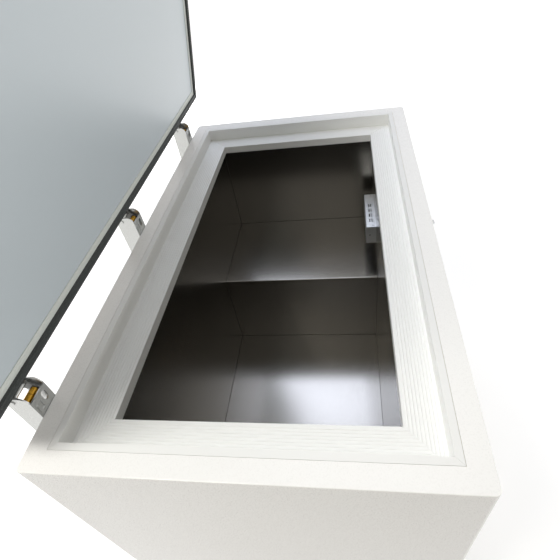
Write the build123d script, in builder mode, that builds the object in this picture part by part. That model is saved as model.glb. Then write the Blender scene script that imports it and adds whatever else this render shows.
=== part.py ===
from build123d import *
import math
import os

os.makedirs("parts", exist_ok=True)

# The freezer stands on the floor, z = 0, with its long side along X and its front facing -Y.
# The origin is the middle of the cabinet's footprint. All sizes are in millimetres.

# Outer case
CASE_X = 1380.0
CASE_Y = 800.0
RIM_Z = 955.0
CASE_CORNER_R = 12.0
TOP_EDGE_R = 1.8
SHEET = 1.2
CASTER_H = 85.0
RAIL_H = 20.0
CASE_Z0 = CASTER_H + RAIL_H

# Chamber mouth and the stepped plastic collar around it
WALL = 125.0
MOUTH_X = CASE_X - 2 * WALL
MOUTH_Y = CASE_Y - 2 * WALL
LEDGE_W = 68.0
REBATE_H = 40.0
LIP_W = 14.0
LIP_GAP = 0.6
COLLAR_LEG = 25.0
COLLAR_T = 2.5
RIDGE_PITCH = 6.5
RIDGE_COUNT = 9
RIDGE_H = 0.9
MITRE_GAP = 0.3
LEDGE_Z = RIM_Z - REBATE_H

# Stepped stainless liner
LINER_T = 1.0
LINER_SETBACK_X = 3.0
LINER_SETBACK_Y = 8.0
DEEP_DEPTH = 730.0
SHALLOW_DEPTH = 405.0
SHALLOW_L = 369.0
STEP_X = MOUTH_X / 2 - SHALLOW_L
STEP_EDGE_R = 4.0
LINER_X = MOUTH_X + 2 * LINER_SETBACK_X
LINER_Y = MOUTH_Y + 2 * LINER_SETBACK_Y
DEEP_Z = RIM_Z - DEEP_DEPTH
SHALLOW_Z = RIM_Z - SHALLOW_DEPTH
LINER_TOP_Z = LEDGE_Z - COLLAR_T - 0.5

# Machine bay under the shallow part, at the right end
BAY_L = 374.0
BAY_X = CASE_X / 2 - BAY_L
BAY_Z = 440.0
END_WRAP = 30.0

# Clearances
FIT = 0.3
RUN = 0.05

# Evaporator tube wound around the liner
TUBE_W = 12.0
TUBE_T = 6.0
COIL_POCKET = 8.0
UPPER_COIL_Z = 600.0
UPPER_COIL_TURNS = 4
LOWER_COIL_Z = 270.0
LOWER_COIL_TURNS = 3
COIL_PITCH = 72.0

# Lid, drawn shut. It is shorter than the case at the back, where the hinges stand
LID_INSET = 7.0
LID_REAR_INSET = 38.0
LID_X = CASE_X - 2 * LID_INSET
LID_FRONT_Y = LID_INSET - CASE_Y / 2
LID_REAR_Y = CASE_Y / 2 - LID_REAR_INSET
LID_H = 90.0
LID_CORNER_R = 10.0
LID_HEM = 3.0
GASKET_W = 16.0
GASKET_H = 8.0
GASKET_CLEAR = 0.4
BORDER_W = 17.0
BORDER_PROUD = 1.5
BORDER_T = 3.0
BORDER_TUCK = 2.0
PANEL_T = 2.0
LID_OPEN = 79.3
LID_Z0 = RIM_Z + GASKET_CLEAR + GASKET_H
LID_TOP_Z = LID_Z0 + LID_H
LID_Y = LID_REAR_Y - LID_FRONT_Y
LID_MID = Vector(0, (LID_REAR_Y + LID_FRONT_Y) / 2, 0)

# Spring hinges on the back of the case
PIVOT_OUT = 36.0
PIVOT_Y = CASE_Y / 2 + PIVOT_OUT
PIVOT_UP = 50.0
PIVOT_Z = RIM_Z + PIVOT_UP
HINGE_INSET = 130.0
HINGE_COUNT = 3
HINGE_PITCH = (CASE_X - 2 * HINGE_INSET) / (HINGE_COUNT - 1)
CHANNEL_W = 50.0
CHANNEL_T = 2.5
CHANNEL_DROP = 230.0
CHANNEL_DEPTH = 49.0
WEB_UP = 44.0
CHEEK_UP = 62.0
PIN_R = 4.0
CAM_PIN_R = 3.0
CAM_DY = 11.6
CAM_DZ = -19.5
BUSH_R = 8.5
BUSH_L = 15.0
BUSH_GAP = 1.0
LEAF_W = 39.0
LEAF_T = 3.0
LEAF_Z0 = LID_Z0 + 4.0
LEAF_TOP_Z = LID_TOP_Z - 10.0
SPRING_R = 13.0
SPRING_WIRE = 4.0
SPRING_COILS = 11
LID_AXIS = Axis((0, PIVOT_Y, PIVOT_Z), (1, 0, 0))

# Handle and swing hook lock on the lid's front
HANDLE_L = 260.0
HANDLE_OUT = 45.0
HANDLE_W = 24.0
HANDLE_T = 14.0
LOCK_Z = RIM_Z + 26.0
LOCK_BODY_R = 17.0
LOCK_BODY_OUT = 17.0
HOOK_R = 54.0
HOOK_T = 3.0
KEEPER_Z = RIM_Z - 21.0
KEEPER_OUT = 14.0

# Casters
CASTER_INSET_X = 80.0
CASTER_INSET_Y = 50.0
CASTER_X = CASE_X / 2 - CASTER_INSET_X
CASTER_Y = CASE_Y / 2 - CASTER_INSET_Y
WHEEL_R = 31.0
WHEEL_W = 22.0
TRAIL = 20.0
AXLE_R = 4.0
YOKE_GAP = 3.0
YOKE_T = 2.5

# Louvres
LOUVRE_L = 130.0
LOUVRE_GAP = 7.0
LOUVRE_OUT = 6.0
LOUVRE_PITCH = 22.0

# Condenser, fan and the rest of the machine bay
DECK_T = 1.5
DECK_Z = CASE_Z0 + DECK_T
BAY_MID_X = (BAY_X + CASE_X / 2) / 2
FAN_Z = 272.0
FAN_R = 104.0
FAN_BLADES = 5
HUB_R = 30.0
RING_R = 112.0
SHROUD_INSET = 78.0
SHROUD_Y = SHROUD_INSET - CASE_Y / 2
COMPRESSOR_R = 80.0
COMPRESSOR_H = 196.0

# Control panel on the front, above the machine bay
PANEL_INSET = 190.0
PANEL_MID_X = CASE_X / 2 - PANEL_INSET
PANEL_MID_Z = 520.0
PANEL_W = 260.0
PANEL_H = 96.0
PANEL_OUT = 20.0
PANEL_WALL = 2.5
KEY_W = 15.0
KEY_PITCH = 22.0
KEY_COUNT = 3
KEY_TRAVEL = 1.5

SIDES = (
    (Vector(0, -1, 0), Vector(1, 0, 0)),
    (Vector(0, 1, 0), Vector(-1, 0, 0)),
    (Vector(-1, 0, 0), Vector(0, -1, 0)),
    (Vector(1, 0, 0), Vector(0, 1, 0)),
)
SIDE_NAMES = ("front", "rear", "left", "right")
HINGE_X = [(i - (HINGE_COUNT - 1) / 2) * HINGE_PITCH for i in range(HINGE_COUNT)]


def write_piece(piece, node):
    """Name a finished piece and write it."""
    piece.label = node
    export_step(piece, f"parts/{node}.step")


def write_lid_piece(piece, node):
    """Swing a piece that is drawn with the lid shut to the open lid of the stored part."""
    write_piece(piece.rotate(LID_AXIS, -LID_OPEN), node)


def group(pieces):
    """Separate solids that share one node."""
    return Compound(children=list(pieces))


def side_sizes(outward, size_x, size_y):
    """Distance from the middle to one side of a rectangle, and half that side's length."""
    return (size_x / 2, size_y / 2) if outward.X else (size_y / 2, size_x / 2)


def mitre_planes(outward, run, size_x, size_y, middle=Vector(0, 0, 0), gap=0.0):
    """Upright planes that bound one side of a rectangular ring: its two mitres and the ring's middle."""
    edge, half_run = side_sizes(outward, size_x, size_y)
    planes = [Plane(origin=middle, z_dir=outward)]
    for way in (1, -1):
        facing = outward - run * way
        corner = middle + outward * edge + run * (way * half_run) + facing.normalized() * (gap / 2)
        planes.append(Plane(origin=corner, z_dir=facing))
    return planes


def mitred_strip(profile, side, size_x, size_y, middle=Vector(0, 0, 0)):
    """An extruded strip along one side of a rectangle. The profile's x points outwards, its y up."""
    outward, run = side
    edge, half_run = side_sizes(outward, size_x, size_y)
    reach = max(abs(point[0]) for point in profile) + 1
    across = Plane(origin=middle + outward * edge, x_dir=outward, z_dir=outward.cross(Vector(0, 0, 1)))
    with BuildPart() as strip:
        with BuildSketch(across):
            with BuildLine():
                Polyline(*profile, close=True)
            make_face()
        extrude(amount=half_run + reach, both=True)
        for plane in mitre_planes(outward, run, size_x, size_y, middle, MITRE_GAP):
            split(bisect_by=plane, keep=Keep.TOP)
    return strip.part


def louvre_slots(face, columns, rows, pitch_x):
    """Rows of slots through a sheet whose outside lies on the face plane."""
    with BuildPart() as slots:
        with BuildSketch(face):
            with GridLocations(pitch_x, LOUVRE_PITCH, columns, rows):
                Rectangle(LOUVRE_L, LOUVRE_GAP)
        extrude(amount=SHEET, both=True)
    return slots.part


def louvre_hoods(face, columns, rows, pitch_x):
    """A hood over each slot, sloping down and out from the slot's upper edge."""
    first_row = -(rows - 1) * LOUVRE_PITCH / 2
    side = ((-SHEET / 2, LOUVRE_GAP / 2 + 1.6), (-SHEET / 2, LOUVRE_GAP / 2),
            (LOUVRE_OUT, -LOUVRE_GAP / 2), (LOUVRE_OUT, -LOUVRE_GAP / 2 + 1.6))
    with BuildPart() as hoods:
        for column in range(columns):
            shift = face.x_dir * ((column - (columns - 1) / 2) * pitch_x)
            with BuildSketch(Plane(origin=face.origin + shift, x_dir=face.z_dir, z_dir=-face.x_dir)):
                with Locations(*[(0, first_row + row * LOUVRE_PITCH) for row in range(rows)]):
                    Polygon(*side, align=None)
            extrude(amount=LOUVRE_L / 2, both=True)
    return hoods.part


def collar_profile():
    """Leg, ridged ledge, rebate wall and lip of the collar, in one drawn plastic section."""
    ridges = []
    first = (LEDGE_W - (RIDGE_COUNT - 1) * RIDGE_PITCH) / 2
    for ridge in range(RIDGE_COUNT):
        middle = first + ridge * RIDGE_PITCH
        ridges += [(middle - 1.6, LEDGE_Z), (middle - 0.8, LEDGE_Z + RIDGE_H),
                   (middle + 0.8, LEDGE_Z + RIDGE_H), (middle + 1.6, LEDGE_Z)]
    return [
        (0, LEDGE_Z - COLLAR_LEG), (0, LEDGE_Z), *ridges,
        (LEDGE_W, LEDGE_Z), (LEDGE_W, RIM_Z), (LEDGE_W + LIP_W, RIM_Z),
        (LEDGE_W + LIP_W, RIM_Z - COLLAR_T), (LEDGE_W + COLLAR_T, RIM_Z - COLLAR_T),
        (LEDGE_W + COLLAR_T, LEDGE_Z - COLLAR_T), (COLLAR_T, LEDGE_Z - COLLAR_T),
        (COLLAR_T, LEDGE_Z - COLLAR_LEG),
    ]


def chamber_outline(grow, top_z):
    """Side outline of the stepped chamber, its walls moved outwards by grow."""
    half = LINER_X / 2 + grow
    return [
        (-half, top_z), (-half, DEEP_Z - grow), (STEP_X + grow, DEEP_Z - grow),
        (STEP_X + grow, SHALLOW_Z - grow), (half, SHALLOW_Z - grow), (half, top_z),
    ]


def chamber_block(grow, top_z, step_radius=0.0):
    """The stepped chamber as a solid block."""
    with BuildPart() as block:
        with BuildSketch(Plane.XZ):
            with BuildLine():
                Polyline(*chamber_outline(grow, top_z), close=True)
            make_face()
        extrude(amount=LINER_Y / 2 + grow, both=True)
        if step_radius:
            step_edge = block.edges().filter_by(Axis.Y).filter_by_position(
                Axis.X, STEP_X + grow - 1, STEP_X + grow + 1).sort_by(Axis.Z)[-1]
            fillet(step_edge, step_radius)
    return block.part


# Outer case: one ring of painted sheet with a folded rim, cut into four mitred panels
with BuildPart() as case_ring:
    with BuildSketch(Plane.XY.offset(CASE_Z0)):
        RectangleRounded(CASE_X, CASE_Y, CASE_CORNER_R)
        RectangleRounded(CASE_X - 2 * SHEET, CASE_Y - 2 * SHEET, CASE_CORNER_R - SHEET, mode=Mode.SUBTRACT)
    extrude(amount=RIM_Z - CASE_Z0)
    with BuildSketch(Plane.XY.offset(RIM_Z - SHEET)):
        RectangleRounded(CASE_X, CASE_Y, CASE_CORNER_R)
        Rectangle(MOUTH_X + 2 * (LEDGE_W + LIP_W + LIP_GAP), MOUTH_Y + 2 * (LEDGE_W + LIP_W + LIP_GAP),
                  mode=Mode.SUBTRACT)
    extrude(amount=SHEET)
    fillet(case_ring.faces().sort_by(Axis.Z)[-1].outer_wire().edges(), TOP_EDGE_R)

with BuildPart() as case_upper:
    add(case_ring.part)
    with Locations((BAY_X, 0, BAY_Z)):
        Box(CASE_X, 2 * CASE_Y, RIM_Z, align=(Align.MIN, Align.CENTER, Align.MAX), mode=Mode.SUBTRACT)

for side, side_name in zip(SIDES, SIDE_NAMES):
    with BuildPart() as case_panel:
        add(case_upper.part)
        for plane in mitre_planes(*side, CASE_X, CASE_Y):
            split(bisect_by=plane, keep=Keep.TOP)
    write_piece(case_panel.part, f"case_{side_name}")

end_face = Plane(origin=(CASE_X / 2, 0, (CASE_Z0 + BAY_Z) / 2), x_dir=(0, 1, 0), z_dir=(1, 0, 0))
with BuildPart() as end_panel:
    add(case_ring.part)
    with Locations((CASE_X / 2 - END_WRAP, 0, BAY_Z - FIT)):
        Box(CASE_X, 2 * CASE_Y, RIM_Z, align=(Align.MIN, Align.CENTER, Align.MAX), mode=Mode.INTERSECT)
    add(louvre_slots(end_face, 3, 9, 190), mode=Mode.SUBTRACT)
    add(louvre_hoods(end_face, 3, 9, 190))
write_piece(end_panel.part, "end_panel")

# Louvred covers on the front and back of the machine bay
COVER_X0 = BAY_X + FIT
COVER_X1 = CASE_X / 2 - END_WRAP - FIT
COVER_H = BAY_Z - CASE_Z0 - FIT
for facing, node in ((-1, "front_grille"), (1, "rear_grille")):
    cover_face = Plane(origin=((COVER_X0 + COVER_X1) / 2, facing * CASE_Y / 2, CASE_Z0 + COVER_H / 2),
                       x_dir=(-facing, 0, 0), z_dir=(0, facing, 0))
    with BuildPart() as grille:
        with Locations(((COVER_X0 + COVER_X1) / 2, facing * (CASE_Y - SHEET) / 2, CASE_Z0)):
            Box(COVER_X1 - COVER_X0, SHEET, COVER_H, align=(Align.CENTER, Align.CENTER, Align.MIN))
        add(louvre_slots(cover_face, 2, 12, 155), mode=Mode.SUBTRACT)
        add(louvre_hoods(cover_face, 2, 12, 155))
    write_piece(grille.part, node)

with BuildPart() as case_bottom:
    with Locations(((BAY_X - CASE_X / 2) / 2, 0, CASE_Z0)):
        Box(BAY_X + CASE_X / 2 - 2 * SHEET - 2 * FIT, CASE_Y - 2 * SHEET - 2 * FIT, SHEET,
            align=(Align.CENTER, Align.CENTER, Align.MIN))
    fillet(case_bottom.edges().filter_by(Axis.Z).group_by(Axis.X)[0], CASE_CORNER_R - SHEET)
write_piece(case_bottom.part, "case_bottom")

# Folded sheet between the foam and the machine bay
with BuildPart() as bay_bulkhead:
    with BuildSketch(Plane.XZ):
        with BuildLine():
            Polyline((BAY_X, CASE_Z0), (BAY_X, BAY_Z), (CASE_X / 2 - SHEET - FIT, BAY_Z),
                     (CASE_X / 2 - SHEET - FIT, BAY_Z - SHEET), (BAY_X + SHEET, BAY_Z - SHEET),
                     (BAY_X + SHEET, CASE_Z0), close=True)
        make_face()
    extrude(amount=CASE_Y / 2 - SHEET - FIT, both=True)
    fillet(bay_bulkhead.edges().filter_by(Axis.Z).group_by(Axis.X)[-1], CASE_CORNER_R - SHEET)
write_piece(bay_bulkhead.part, "bay_bulkhead")

# Foam between the case, the bulkhead, the collar and the liner
with BuildPart() as foam_body:
    with BuildSketch(Plane.XY.offset(CASE_Z0 + SHEET)):
        RectangleRounded(CASE_X - 2 * SHEET - 2 * FIT, CASE_Y - 2 * SHEET - 2 * FIT, CASE_CORNER_R - SHEET)
    extrude(amount=RIM_Z - COLLAR_T - FIT - CASE_Z0 - SHEET)
    with Locations((BAY_X, 0, BAY_Z)):
        Box(CASE_X, 2 * CASE_Y, RIM_Z, align=(Align.MIN, Align.CENTER, Align.MAX), mode=Mode.SUBTRACT)
    with Locations((0, 0, LEDGE_Z - COLLAR_T - FIT)):
        Box(MOUTH_X + 2 * (LEDGE_W + COLLAR_T + FIT), MOUTH_Y + 2 * (LEDGE_W + COLLAR_T + FIT), RIM_Z,
            align=(Align.CENTER, Align.CENTER, Align.MIN), mode=Mode.SUBTRACT)
    add(chamber_block(LINER_T + FIT, RIM_Z, STEP_EDGE_R - LINER_T - FIT), mode=Mode.SUBTRACT)
    # Pockets that the evaporator tube is wound in
    for z0, turns, x0, x1 in (
        (UPPER_COIL_Z, UPPER_COIL_TURNS, -LINER_X / 2, LINER_X / 2),
        (LOWER_COIL_Z, LOWER_COIL_TURNS, -LINER_X / 2, STEP_X),
    ):
        grow = LINER_T + COIL_POCKET
        with Locations(((x0 + x1) / 2, 0, z0 - TUBE_W)):
            Box(x1 - x0 + 2 * grow, LINER_Y + 2 * grow, turns * COIL_PITCH,
                align=(Align.CENTER, Align.CENTER, Align.MIN), mode=Mode.SUBTRACT)
write_piece(foam_body.part, "foam_body")

# Stainless liner
with BuildPart() as liner:
    add(chamber_block(LINER_T, LINER_TOP_Z, STEP_EDGE_R - LINER_T))
    add(chamber_block(0, RIM_Z, STEP_EDGE_R), mode=Mode.SUBTRACT)
write_piece(liner.part, "liner")

# Flat evaporator tube, a few turns around the upper and the lower chamber
coil_off = LINER_T + FIT + TUBE_T / 2
coils = []
for z0, turns, x0, x1 in (
    (UPPER_COIL_Z, UPPER_COIL_TURNS, -LINER_X / 2 - coil_off, LINER_X / 2 + coil_off),
    (LOWER_COIL_Z, LOWER_COIL_TURNS, -LINER_X / 2 - coil_off, STEP_X + coil_off),
):
    for turn in range(turns):
        with BuildPart() as coil:
            with BuildSketch(Plane.XY.offset(z0 + turn * COIL_PITCH)):
                with Locations(((x0 + x1) / 2, 0)):
                    Rectangle(x1 - x0 + TUBE_T, LINER_Y + 2 * coil_off + TUBE_T)
                    Rectangle(x1 - x0 - TUBE_T, LINER_Y + 2 * coil_off - TUBE_T, mode=Mode.SUBTRACT)
            extrude(amount=TUBE_W)
        coils.append(coil.part)
write_piece(group(coils), "evaporator_coil")

# Plastic collar around the mouth: four mitred strips
write_piece(group(mitred_strip(collar_profile(), side, MOUTH_X, MOUTH_Y) for side in SIDES), "rim_collar")

# Folded sensor guard on the front wall of the shallow chamber, with the probe behind it
GUARD_L = 207.0
GUARD_FROM_STEP = 94.0
GUARD_X0 = STEP_X + GUARD_FROM_STEP
GUARD_X1 = GUARD_X0 + GUARD_L
GUARD_Z0, GUARD_Z1 = 634.0, 705.0
GUARD_OUT = 35.0
GUARD_LIP = 6.0
WALL_Y = -LINER_Y / 2
with BuildPart() as sensor_guard:
    with Locations(((GUARD_X0 + GUARD_X1) / 2, WALL_Y, GUARD_Z1)):
        Box(GUARD_X1 - GUARD_X0, GUARD_OUT, GUARD_Z1 - GUARD_Z0, align=(Align.CENTER, Align.MIN, Align.MAX))
    fillet(sensor_guard.edges().filter_by(Axis.X).group_by(Axis.Z)[-1].sort_by(Axis.Y)[-1], 3)
    offset(amount=-SHEET, openings=[sensor_guard.faces().sort_by(Axis.Y)[0],
                                    sensor_guard.faces().sort_by(Axis.Z)[0]])
    # Turned-in lip under the cover, and two rows of slots in its top
    with Locations(((GUARD_X0 + GUARD_X1) / 2, WALL_Y + GUARD_OUT - SHEET, GUARD_Z0)):
        Box(GUARD_X1 - GUARD_X0 - 2 * SHEET, GUARD_LIP, SHEET, align=(Align.CENTER, Align.MAX, Align.MIN))
    with BuildSketch(Plane.XY.offset(GUARD_Z1)):
        with Locations(((GUARD_X0 + GUARD_X1) / 2 - 17, WALL_Y + 17)):
            with GridLocations(31, 7.5, 4, 2):
                SlotOverall(20, 4.2)
    extrude(amount=-2 * SHEET, mode=Mode.SUBTRACT)
    with BuildSketch(Plane.XY.offset(GUARD_Z1)):
        with Locations((GUARD_X0 + 10, WALL_Y + 12), (GUARD_X1 - 10, WALL_Y + 12)):
            Circle(2.8)
    extrude(amount=-2 * SHEET, mode=Mode.SUBTRACT)
    with BuildSketch(Plane(origin=(GUARD_X0, WALL_Y + 22, GUARD_Z1 - 36), x_dir=(0, 1, 0), z_dir=(1, 0, 0))):
        Circle(2.8)
    extrude(amount=2 * SHEET, mode=Mode.SUBTRACT)
write_piece(sensor_guard.part, "sensor_guard")

with BuildPart() as sensor_probe:
    with BuildSketch(Plane(origin=(GUARD_X0 + 40, WALL_Y + 12, GUARD_Z1 - 36), z_dir=(1, 0, 0))):
        Circle(4)
    extrude(amount=120)
    fillet(sensor_probe.edges().filter_by(GeomType.CIRCLE).sort_by(Axis.X)[-1], 3)
    with Locations((GUARD_X0 + 60, WALL_Y + FIT, GUARD_Z1 - 36), (GUARD_X0 + 140, WALL_Y + FIT, GUARD_Z1 - 36)):
        Box(10, 14, 14, align=(Align.CENTER, Align.MIN, Align.CENTER))
write_piece(sensor_probe.part, "sensor_probe")

# Base frame: folded channels, two long and three across
RAIL_W = 50.0
RAIL_T = 2.5
long_y = CASE_Y / 2 - RAIL_W / 2 - 8
rail_profile = ((-RAIL_W / 2, 0), (RAIL_W / 2, 0), (RAIL_W / 2, RAIL_H), (RAIL_W / 2 - RAIL_T, RAIL_H),
                (RAIL_W / 2 - RAIL_T, RAIL_T), (-RAIL_W / 2 + RAIL_T, RAIL_T),
                (-RAIL_W / 2 + RAIL_T, RAIL_H), (-RAIL_W / 2, RAIL_H))
rails = []
for middle, along, length in (
    (Vector(0, -long_y, CASTER_H), Vector(1, 0, 0), CASE_X - 20),
    (Vector(0, long_y, CASTER_H), Vector(1, 0, 0), CASE_X - 20),
    (Vector(-CASE_X / 2 + 45, 0, CASTER_H), Vector(0, 1, 0), 2 * long_y - RAIL_W - 2 * FIT),
    (Vector(BAY_X - RAIL_W / 2, 0, CASTER_H), Vector(0, 1, 0), 2 * long_y - RAIL_W - 2 * FIT),
    (Vector(CASE_X / 2 - 45, 0, CASTER_H), Vector(0, 1, 0), 2 * long_y - RAIL_W - 2 * FIT),
):
    with BuildPart() as rail:
        with BuildSketch(Plane(origin=middle, x_dir=Vector(0, 0, 1).cross(along), z_dir=along)):
            Polygon(*rail_profile, align=None)
        extrude(amount=length / 2, both=True)
    rails.append(rail.part)
write_piece(group(rails), "base_rails")

# Deck of the machine bay
with BuildPart() as machine_deck:
    deck_x0 = BAY_X + SHEET + FIT
    deck_x1 = CASE_X / 2 - SHEET - FIT
    deck_y = CASE_Y - 2 * SHEET - 2 * FIT
    with Locations(((deck_x0 + deck_x1) / 2, 0, CASE_Z0)):
        Box(deck_x1 - deck_x0, deck_y, 16, align=(Align.CENTER, Align.CENTER, Align.MIN))
    fillet(machine_deck.edges().filter_by(Axis.Z).group_by(Axis.X)[-1], CASE_CORNER_R - SHEET)
    offset(amount=-DECK_T, openings=machine_deck.faces().sort_by(Axis.Z)[-1])
write_piece(machine_deck.part, "machine_deck")

# Two hermetic compressors on rubber feet
HIGH_X, HIGH_Y = BAY_MID_X - 4, -150.0
LOW_X, LOW_Y = BAY_MID_X - 4, 78.0
FOOT_X, FOOT_Y = 170.0, 120.0
GROMMET_H = 18.0
foot_z = DECK_Z + GROMMET_H
grommets, compressors = [], []
for cx, cy in ((HIGH_X, HIGH_Y), (LOW_X, LOW_Y)):
    with BuildPart() as compressor:
        with BuildSketch(Plane(origin=(cx, cy, foot_z), x_dir=(1, 0, 0), z_dir=(0, -1, 0))):
            with BuildLine():
                Polyline((0, 3), (COMPRESSOR_R * 0.62, 3))
                RadiusArc((COMPRESSOR_R * 0.62, 3), (COMPRESSOR_R, 42), -46)
                Polyline((COMPRESSOR_R, 42), (COMPRESSOR_R, 108), (COMPRESSOR_R + 5, 108),
                         (COMPRESSOR_R + 5, 114), (COMPRESSOR_R - 2, 114), (COMPRESSOR_R - 2, 140))
                RadiusArc((COMPRESSOR_R - 2, 140), (24, COMPRESSOR_H), -72)
                Polyline((24, COMPRESSOR_H), (0, COMPRESSOR_H), (0, 3))
            make_face()
        revolve(axis=Axis((cx, cy, foot_z), (0, 0, 1)))
        with BuildSketch(Plane.XY.offset(foot_z)):
            with Locations((cx, cy)):
                RectangleRounded(FOOT_X + 34, FOOT_Y + 34, 12)
                with GridLocations(FOOT_X, FOOT_Y, 2, 2):
                    Circle(5.5, mode=Mode.SUBTRACT)
        extrude(amount=3)
        with Locations((cx + COMPRESSOR_R - 8, cy, foot_z + 66)):
            Box(30, 56, 52, align=(Align.MIN, Align.CENTER, Align.CENTER))
    compressors.append(compressor.part)
    for dx in (-FOOT_X / 2, FOOT_X / 2):
        for dy in (-FOOT_Y / 2, FOOT_Y / 2):
            with BuildPart() as grommet:
                with Locations((cx + dx, cy + dy, DECK_Z)):
                    Cylinder(11, GROMMET_H, align=(Align.CENTER, Align.CENTER, Align.MIN))
                    Cylinder(5, GROMMET_H + 8, align=(Align.CENTER, Align.CENTER, Align.MIN))
            grommets.append(grommet.part)
write_piece(group(compressors), "compressors")
write_piece(group(grommets), "compressor_grommets")

# Finned condenser behind the front cover
COND_W, COND_H, COND_T = 270.0, 290.0, 44.0
COND_Y = SHROUD_Y - 22.0
with BuildPart() as condenser:
    with Locations((BAY_MID_X, COND_Y, FAN_Z)):
        Box(COND_W, COND_T, COND_H)
    with BuildSketch(Plane(origin=(BAY_MID_X, COND_Y - COND_T / 2, FAN_Z), x_dir=(1, 0, 0), z_dir=(0, -1, 0))):
        with GridLocations(9, 1, 29, 1):
            Rectangle(6, COND_H - 12)
    extrude(amount=-COND_T / 2 + 5, mode=Mode.SUBTRACT)
    with BuildSketch(Plane(origin=(BAY_MID_X, COND_Y, FAN_Z), x_dir=(0, 1, 0), z_dir=(1, 0, 0))):
        with GridLocations(1, 48, 1, 6):
            Circle(4.5)
    extrude(amount=COND_W / 2 + 10, both=True)
    for way, heights in ((1, (-96, 0, 96)), (-1, (-48, 48))):
        for height in heights:
            with BuildPart(mode=Mode.PRIVATE) as bend:
                with BuildSketch(Plane(origin=(BAY_MID_X + way * (COND_W / 2 + 10), COND_Y, FAN_Z + height),
                                       x_dir=(0, 1, 0), z_dir=(1, 0, 0))):
                    with Locations((0, 24)):
                        Circle(4.5)
                revolve(axis=Axis((BAY_MID_X + way * (COND_W / 2 + 10), COND_Y, FAN_Z + height), (0, 1, 0)),
                        revolution_arc=180 * way)
            add(bend.part)
write_piece(condenser.part, "condenser")

# Fan shroud: a plate with a rolled ring
with BuildPart() as fan_shroud:
    with BuildSketch(Plane(origin=(BAY_MID_X, SHROUD_Y + FIT, FAN_Z), x_dir=(1, 0, 0), z_dir=(0, 1, 0))):
        Rectangle(COND_W, COND_H)
        Circle(RING_R, mode=Mode.SUBTRACT)
    extrude(amount=2)
    with BuildSketch(Plane(origin=(BAY_MID_X, SHROUD_Y + FIT, FAN_Z), x_dir=(1, 0, 0), z_dir=(0, 1, 0))):
        Circle(RING_R + 2)
        Circle(RING_R, mode=Mode.SUBTRACT)
    extrude(amount=30)
    with BuildSketch(Plane(origin=(BAY_MID_X, SHROUD_Y + FIT, FAN_Z), x_dir=(1, 0, 0), z_dir=(0, 1, 0))):
        with PolarLocations(RING_R + 14, 3, 90):
            Circle(3)
    extrude(amount=46)
write_piece(fan_shroud.part, "fan_shroud")

# Fan motor on a three-armed spider
MOTOR_Y = SHROUD_Y + FIT + 46.0
with BuildPart() as fan_motor:
    with BuildSketch(Plane(origin=(BAY_MID_X, MOTOR_Y + FIT, FAN_Z), x_dir=(1, 0, 0), z_dir=(0, 1, 0))):
        Circle(34)
        with PolarLocations((RING_R + 14) / 2, 3, 90):
            Rectangle(RING_R + 14, 10)
        with PolarLocations(RING_R + 14, 3, 90):
            Circle(8)
    extrude(amount=2.5)
    with BuildSketch(Plane(origin=(BAY_MID_X, MOTOR_Y - 12, FAN_Z), x_dir=(1, 0, 0), z_dir=(0, 1, 0))):
        Circle(30)
    extrude(amount=38)
    fillet(fan_motor.edges().filter_by(GeomType.CIRCLE).sort_by(Axis.Y)[-1], 6)
    with BuildSketch(Plane(origin=(BAY_MID_X, MOTOR_Y - 12, FAN_Z), x_dir=(1, 0, 0), z_dir=(0, 1, 0))):
        Circle(4 + RUN)
    extrude(amount=22, mode=Mode.SUBTRACT)
write_piece(fan_motor.part, "fan_motor")

# Fan wheel: hub, shaft and pitched blades
HUB_Y0 = SHROUD_Y + FIT + 8.0
with BuildPart() as fan_wheel:
    with BuildSketch(Plane(origin=(BAY_MID_X, HUB_Y0, FAN_Z), x_dir=(1, 0, 0), z_dir=(0, 1, 0))):
        Circle(HUB_R)
    extrude(amount=20)
    fillet(fan_wheel.edges().filter_by(GeomType.CIRCLE).sort_by(Axis.Y)[0], 6)
    with BuildSketch(Plane(origin=(BAY_MID_X, HUB_Y0, FAN_Z), x_dir=(1, 0, 0), z_dir=(0, 1, 0))):
        Circle(4)
    extrude(amount=46)
    for blade in range(FAN_BLADES):
        turn = blade * 360 / FAN_BLADES
        radial = Vector(math.cos(math.radians(turn)), 0, math.sin(math.radians(turn)))
        along = Vector(-radial.Z, 0, radial.X)
        hub_mid = Vector(BAY_MID_X, HUB_Y0 + 10, FAN_Z)
        for radius, chord, pitch in ((HUB_R - 4, 34, 42), (HUB_R + 34, 52, 31), (FAN_R, 62, 22)):
            tilt = along * math.cos(math.radians(pitch)) + Vector(0, 1, 0) * math.sin(math.radians(pitch))
            with BuildSketch(Plane(origin=hub_mid + radial * radius, x_dir=tilt, z_dir=radial)):
                Ellipse(chord / 2, 1.3)
        loft()
write_piece(fan_wheel.part, "fan_wheel")

# Cascade heat exchanger in its own foam jacket, filter drier and electrical box
with BuildPart() as heat_exchanger:
    with Locations((BAY_X + SHEET + DECK_T + 2 * FIT + 86, 300, DECK_Z)):
        Box(172, 150, 280, align=(Align.CENTER, Align.CENTER, Align.MIN))
    fillet(heat_exchanger.edges().filter_by(Axis.Z), 22)
    chamfer(heat_exchanger.edges().group_by(Axis.Z)[-1], 8)
write_piece(heat_exchanger.part, "heat_exchanger")

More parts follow.
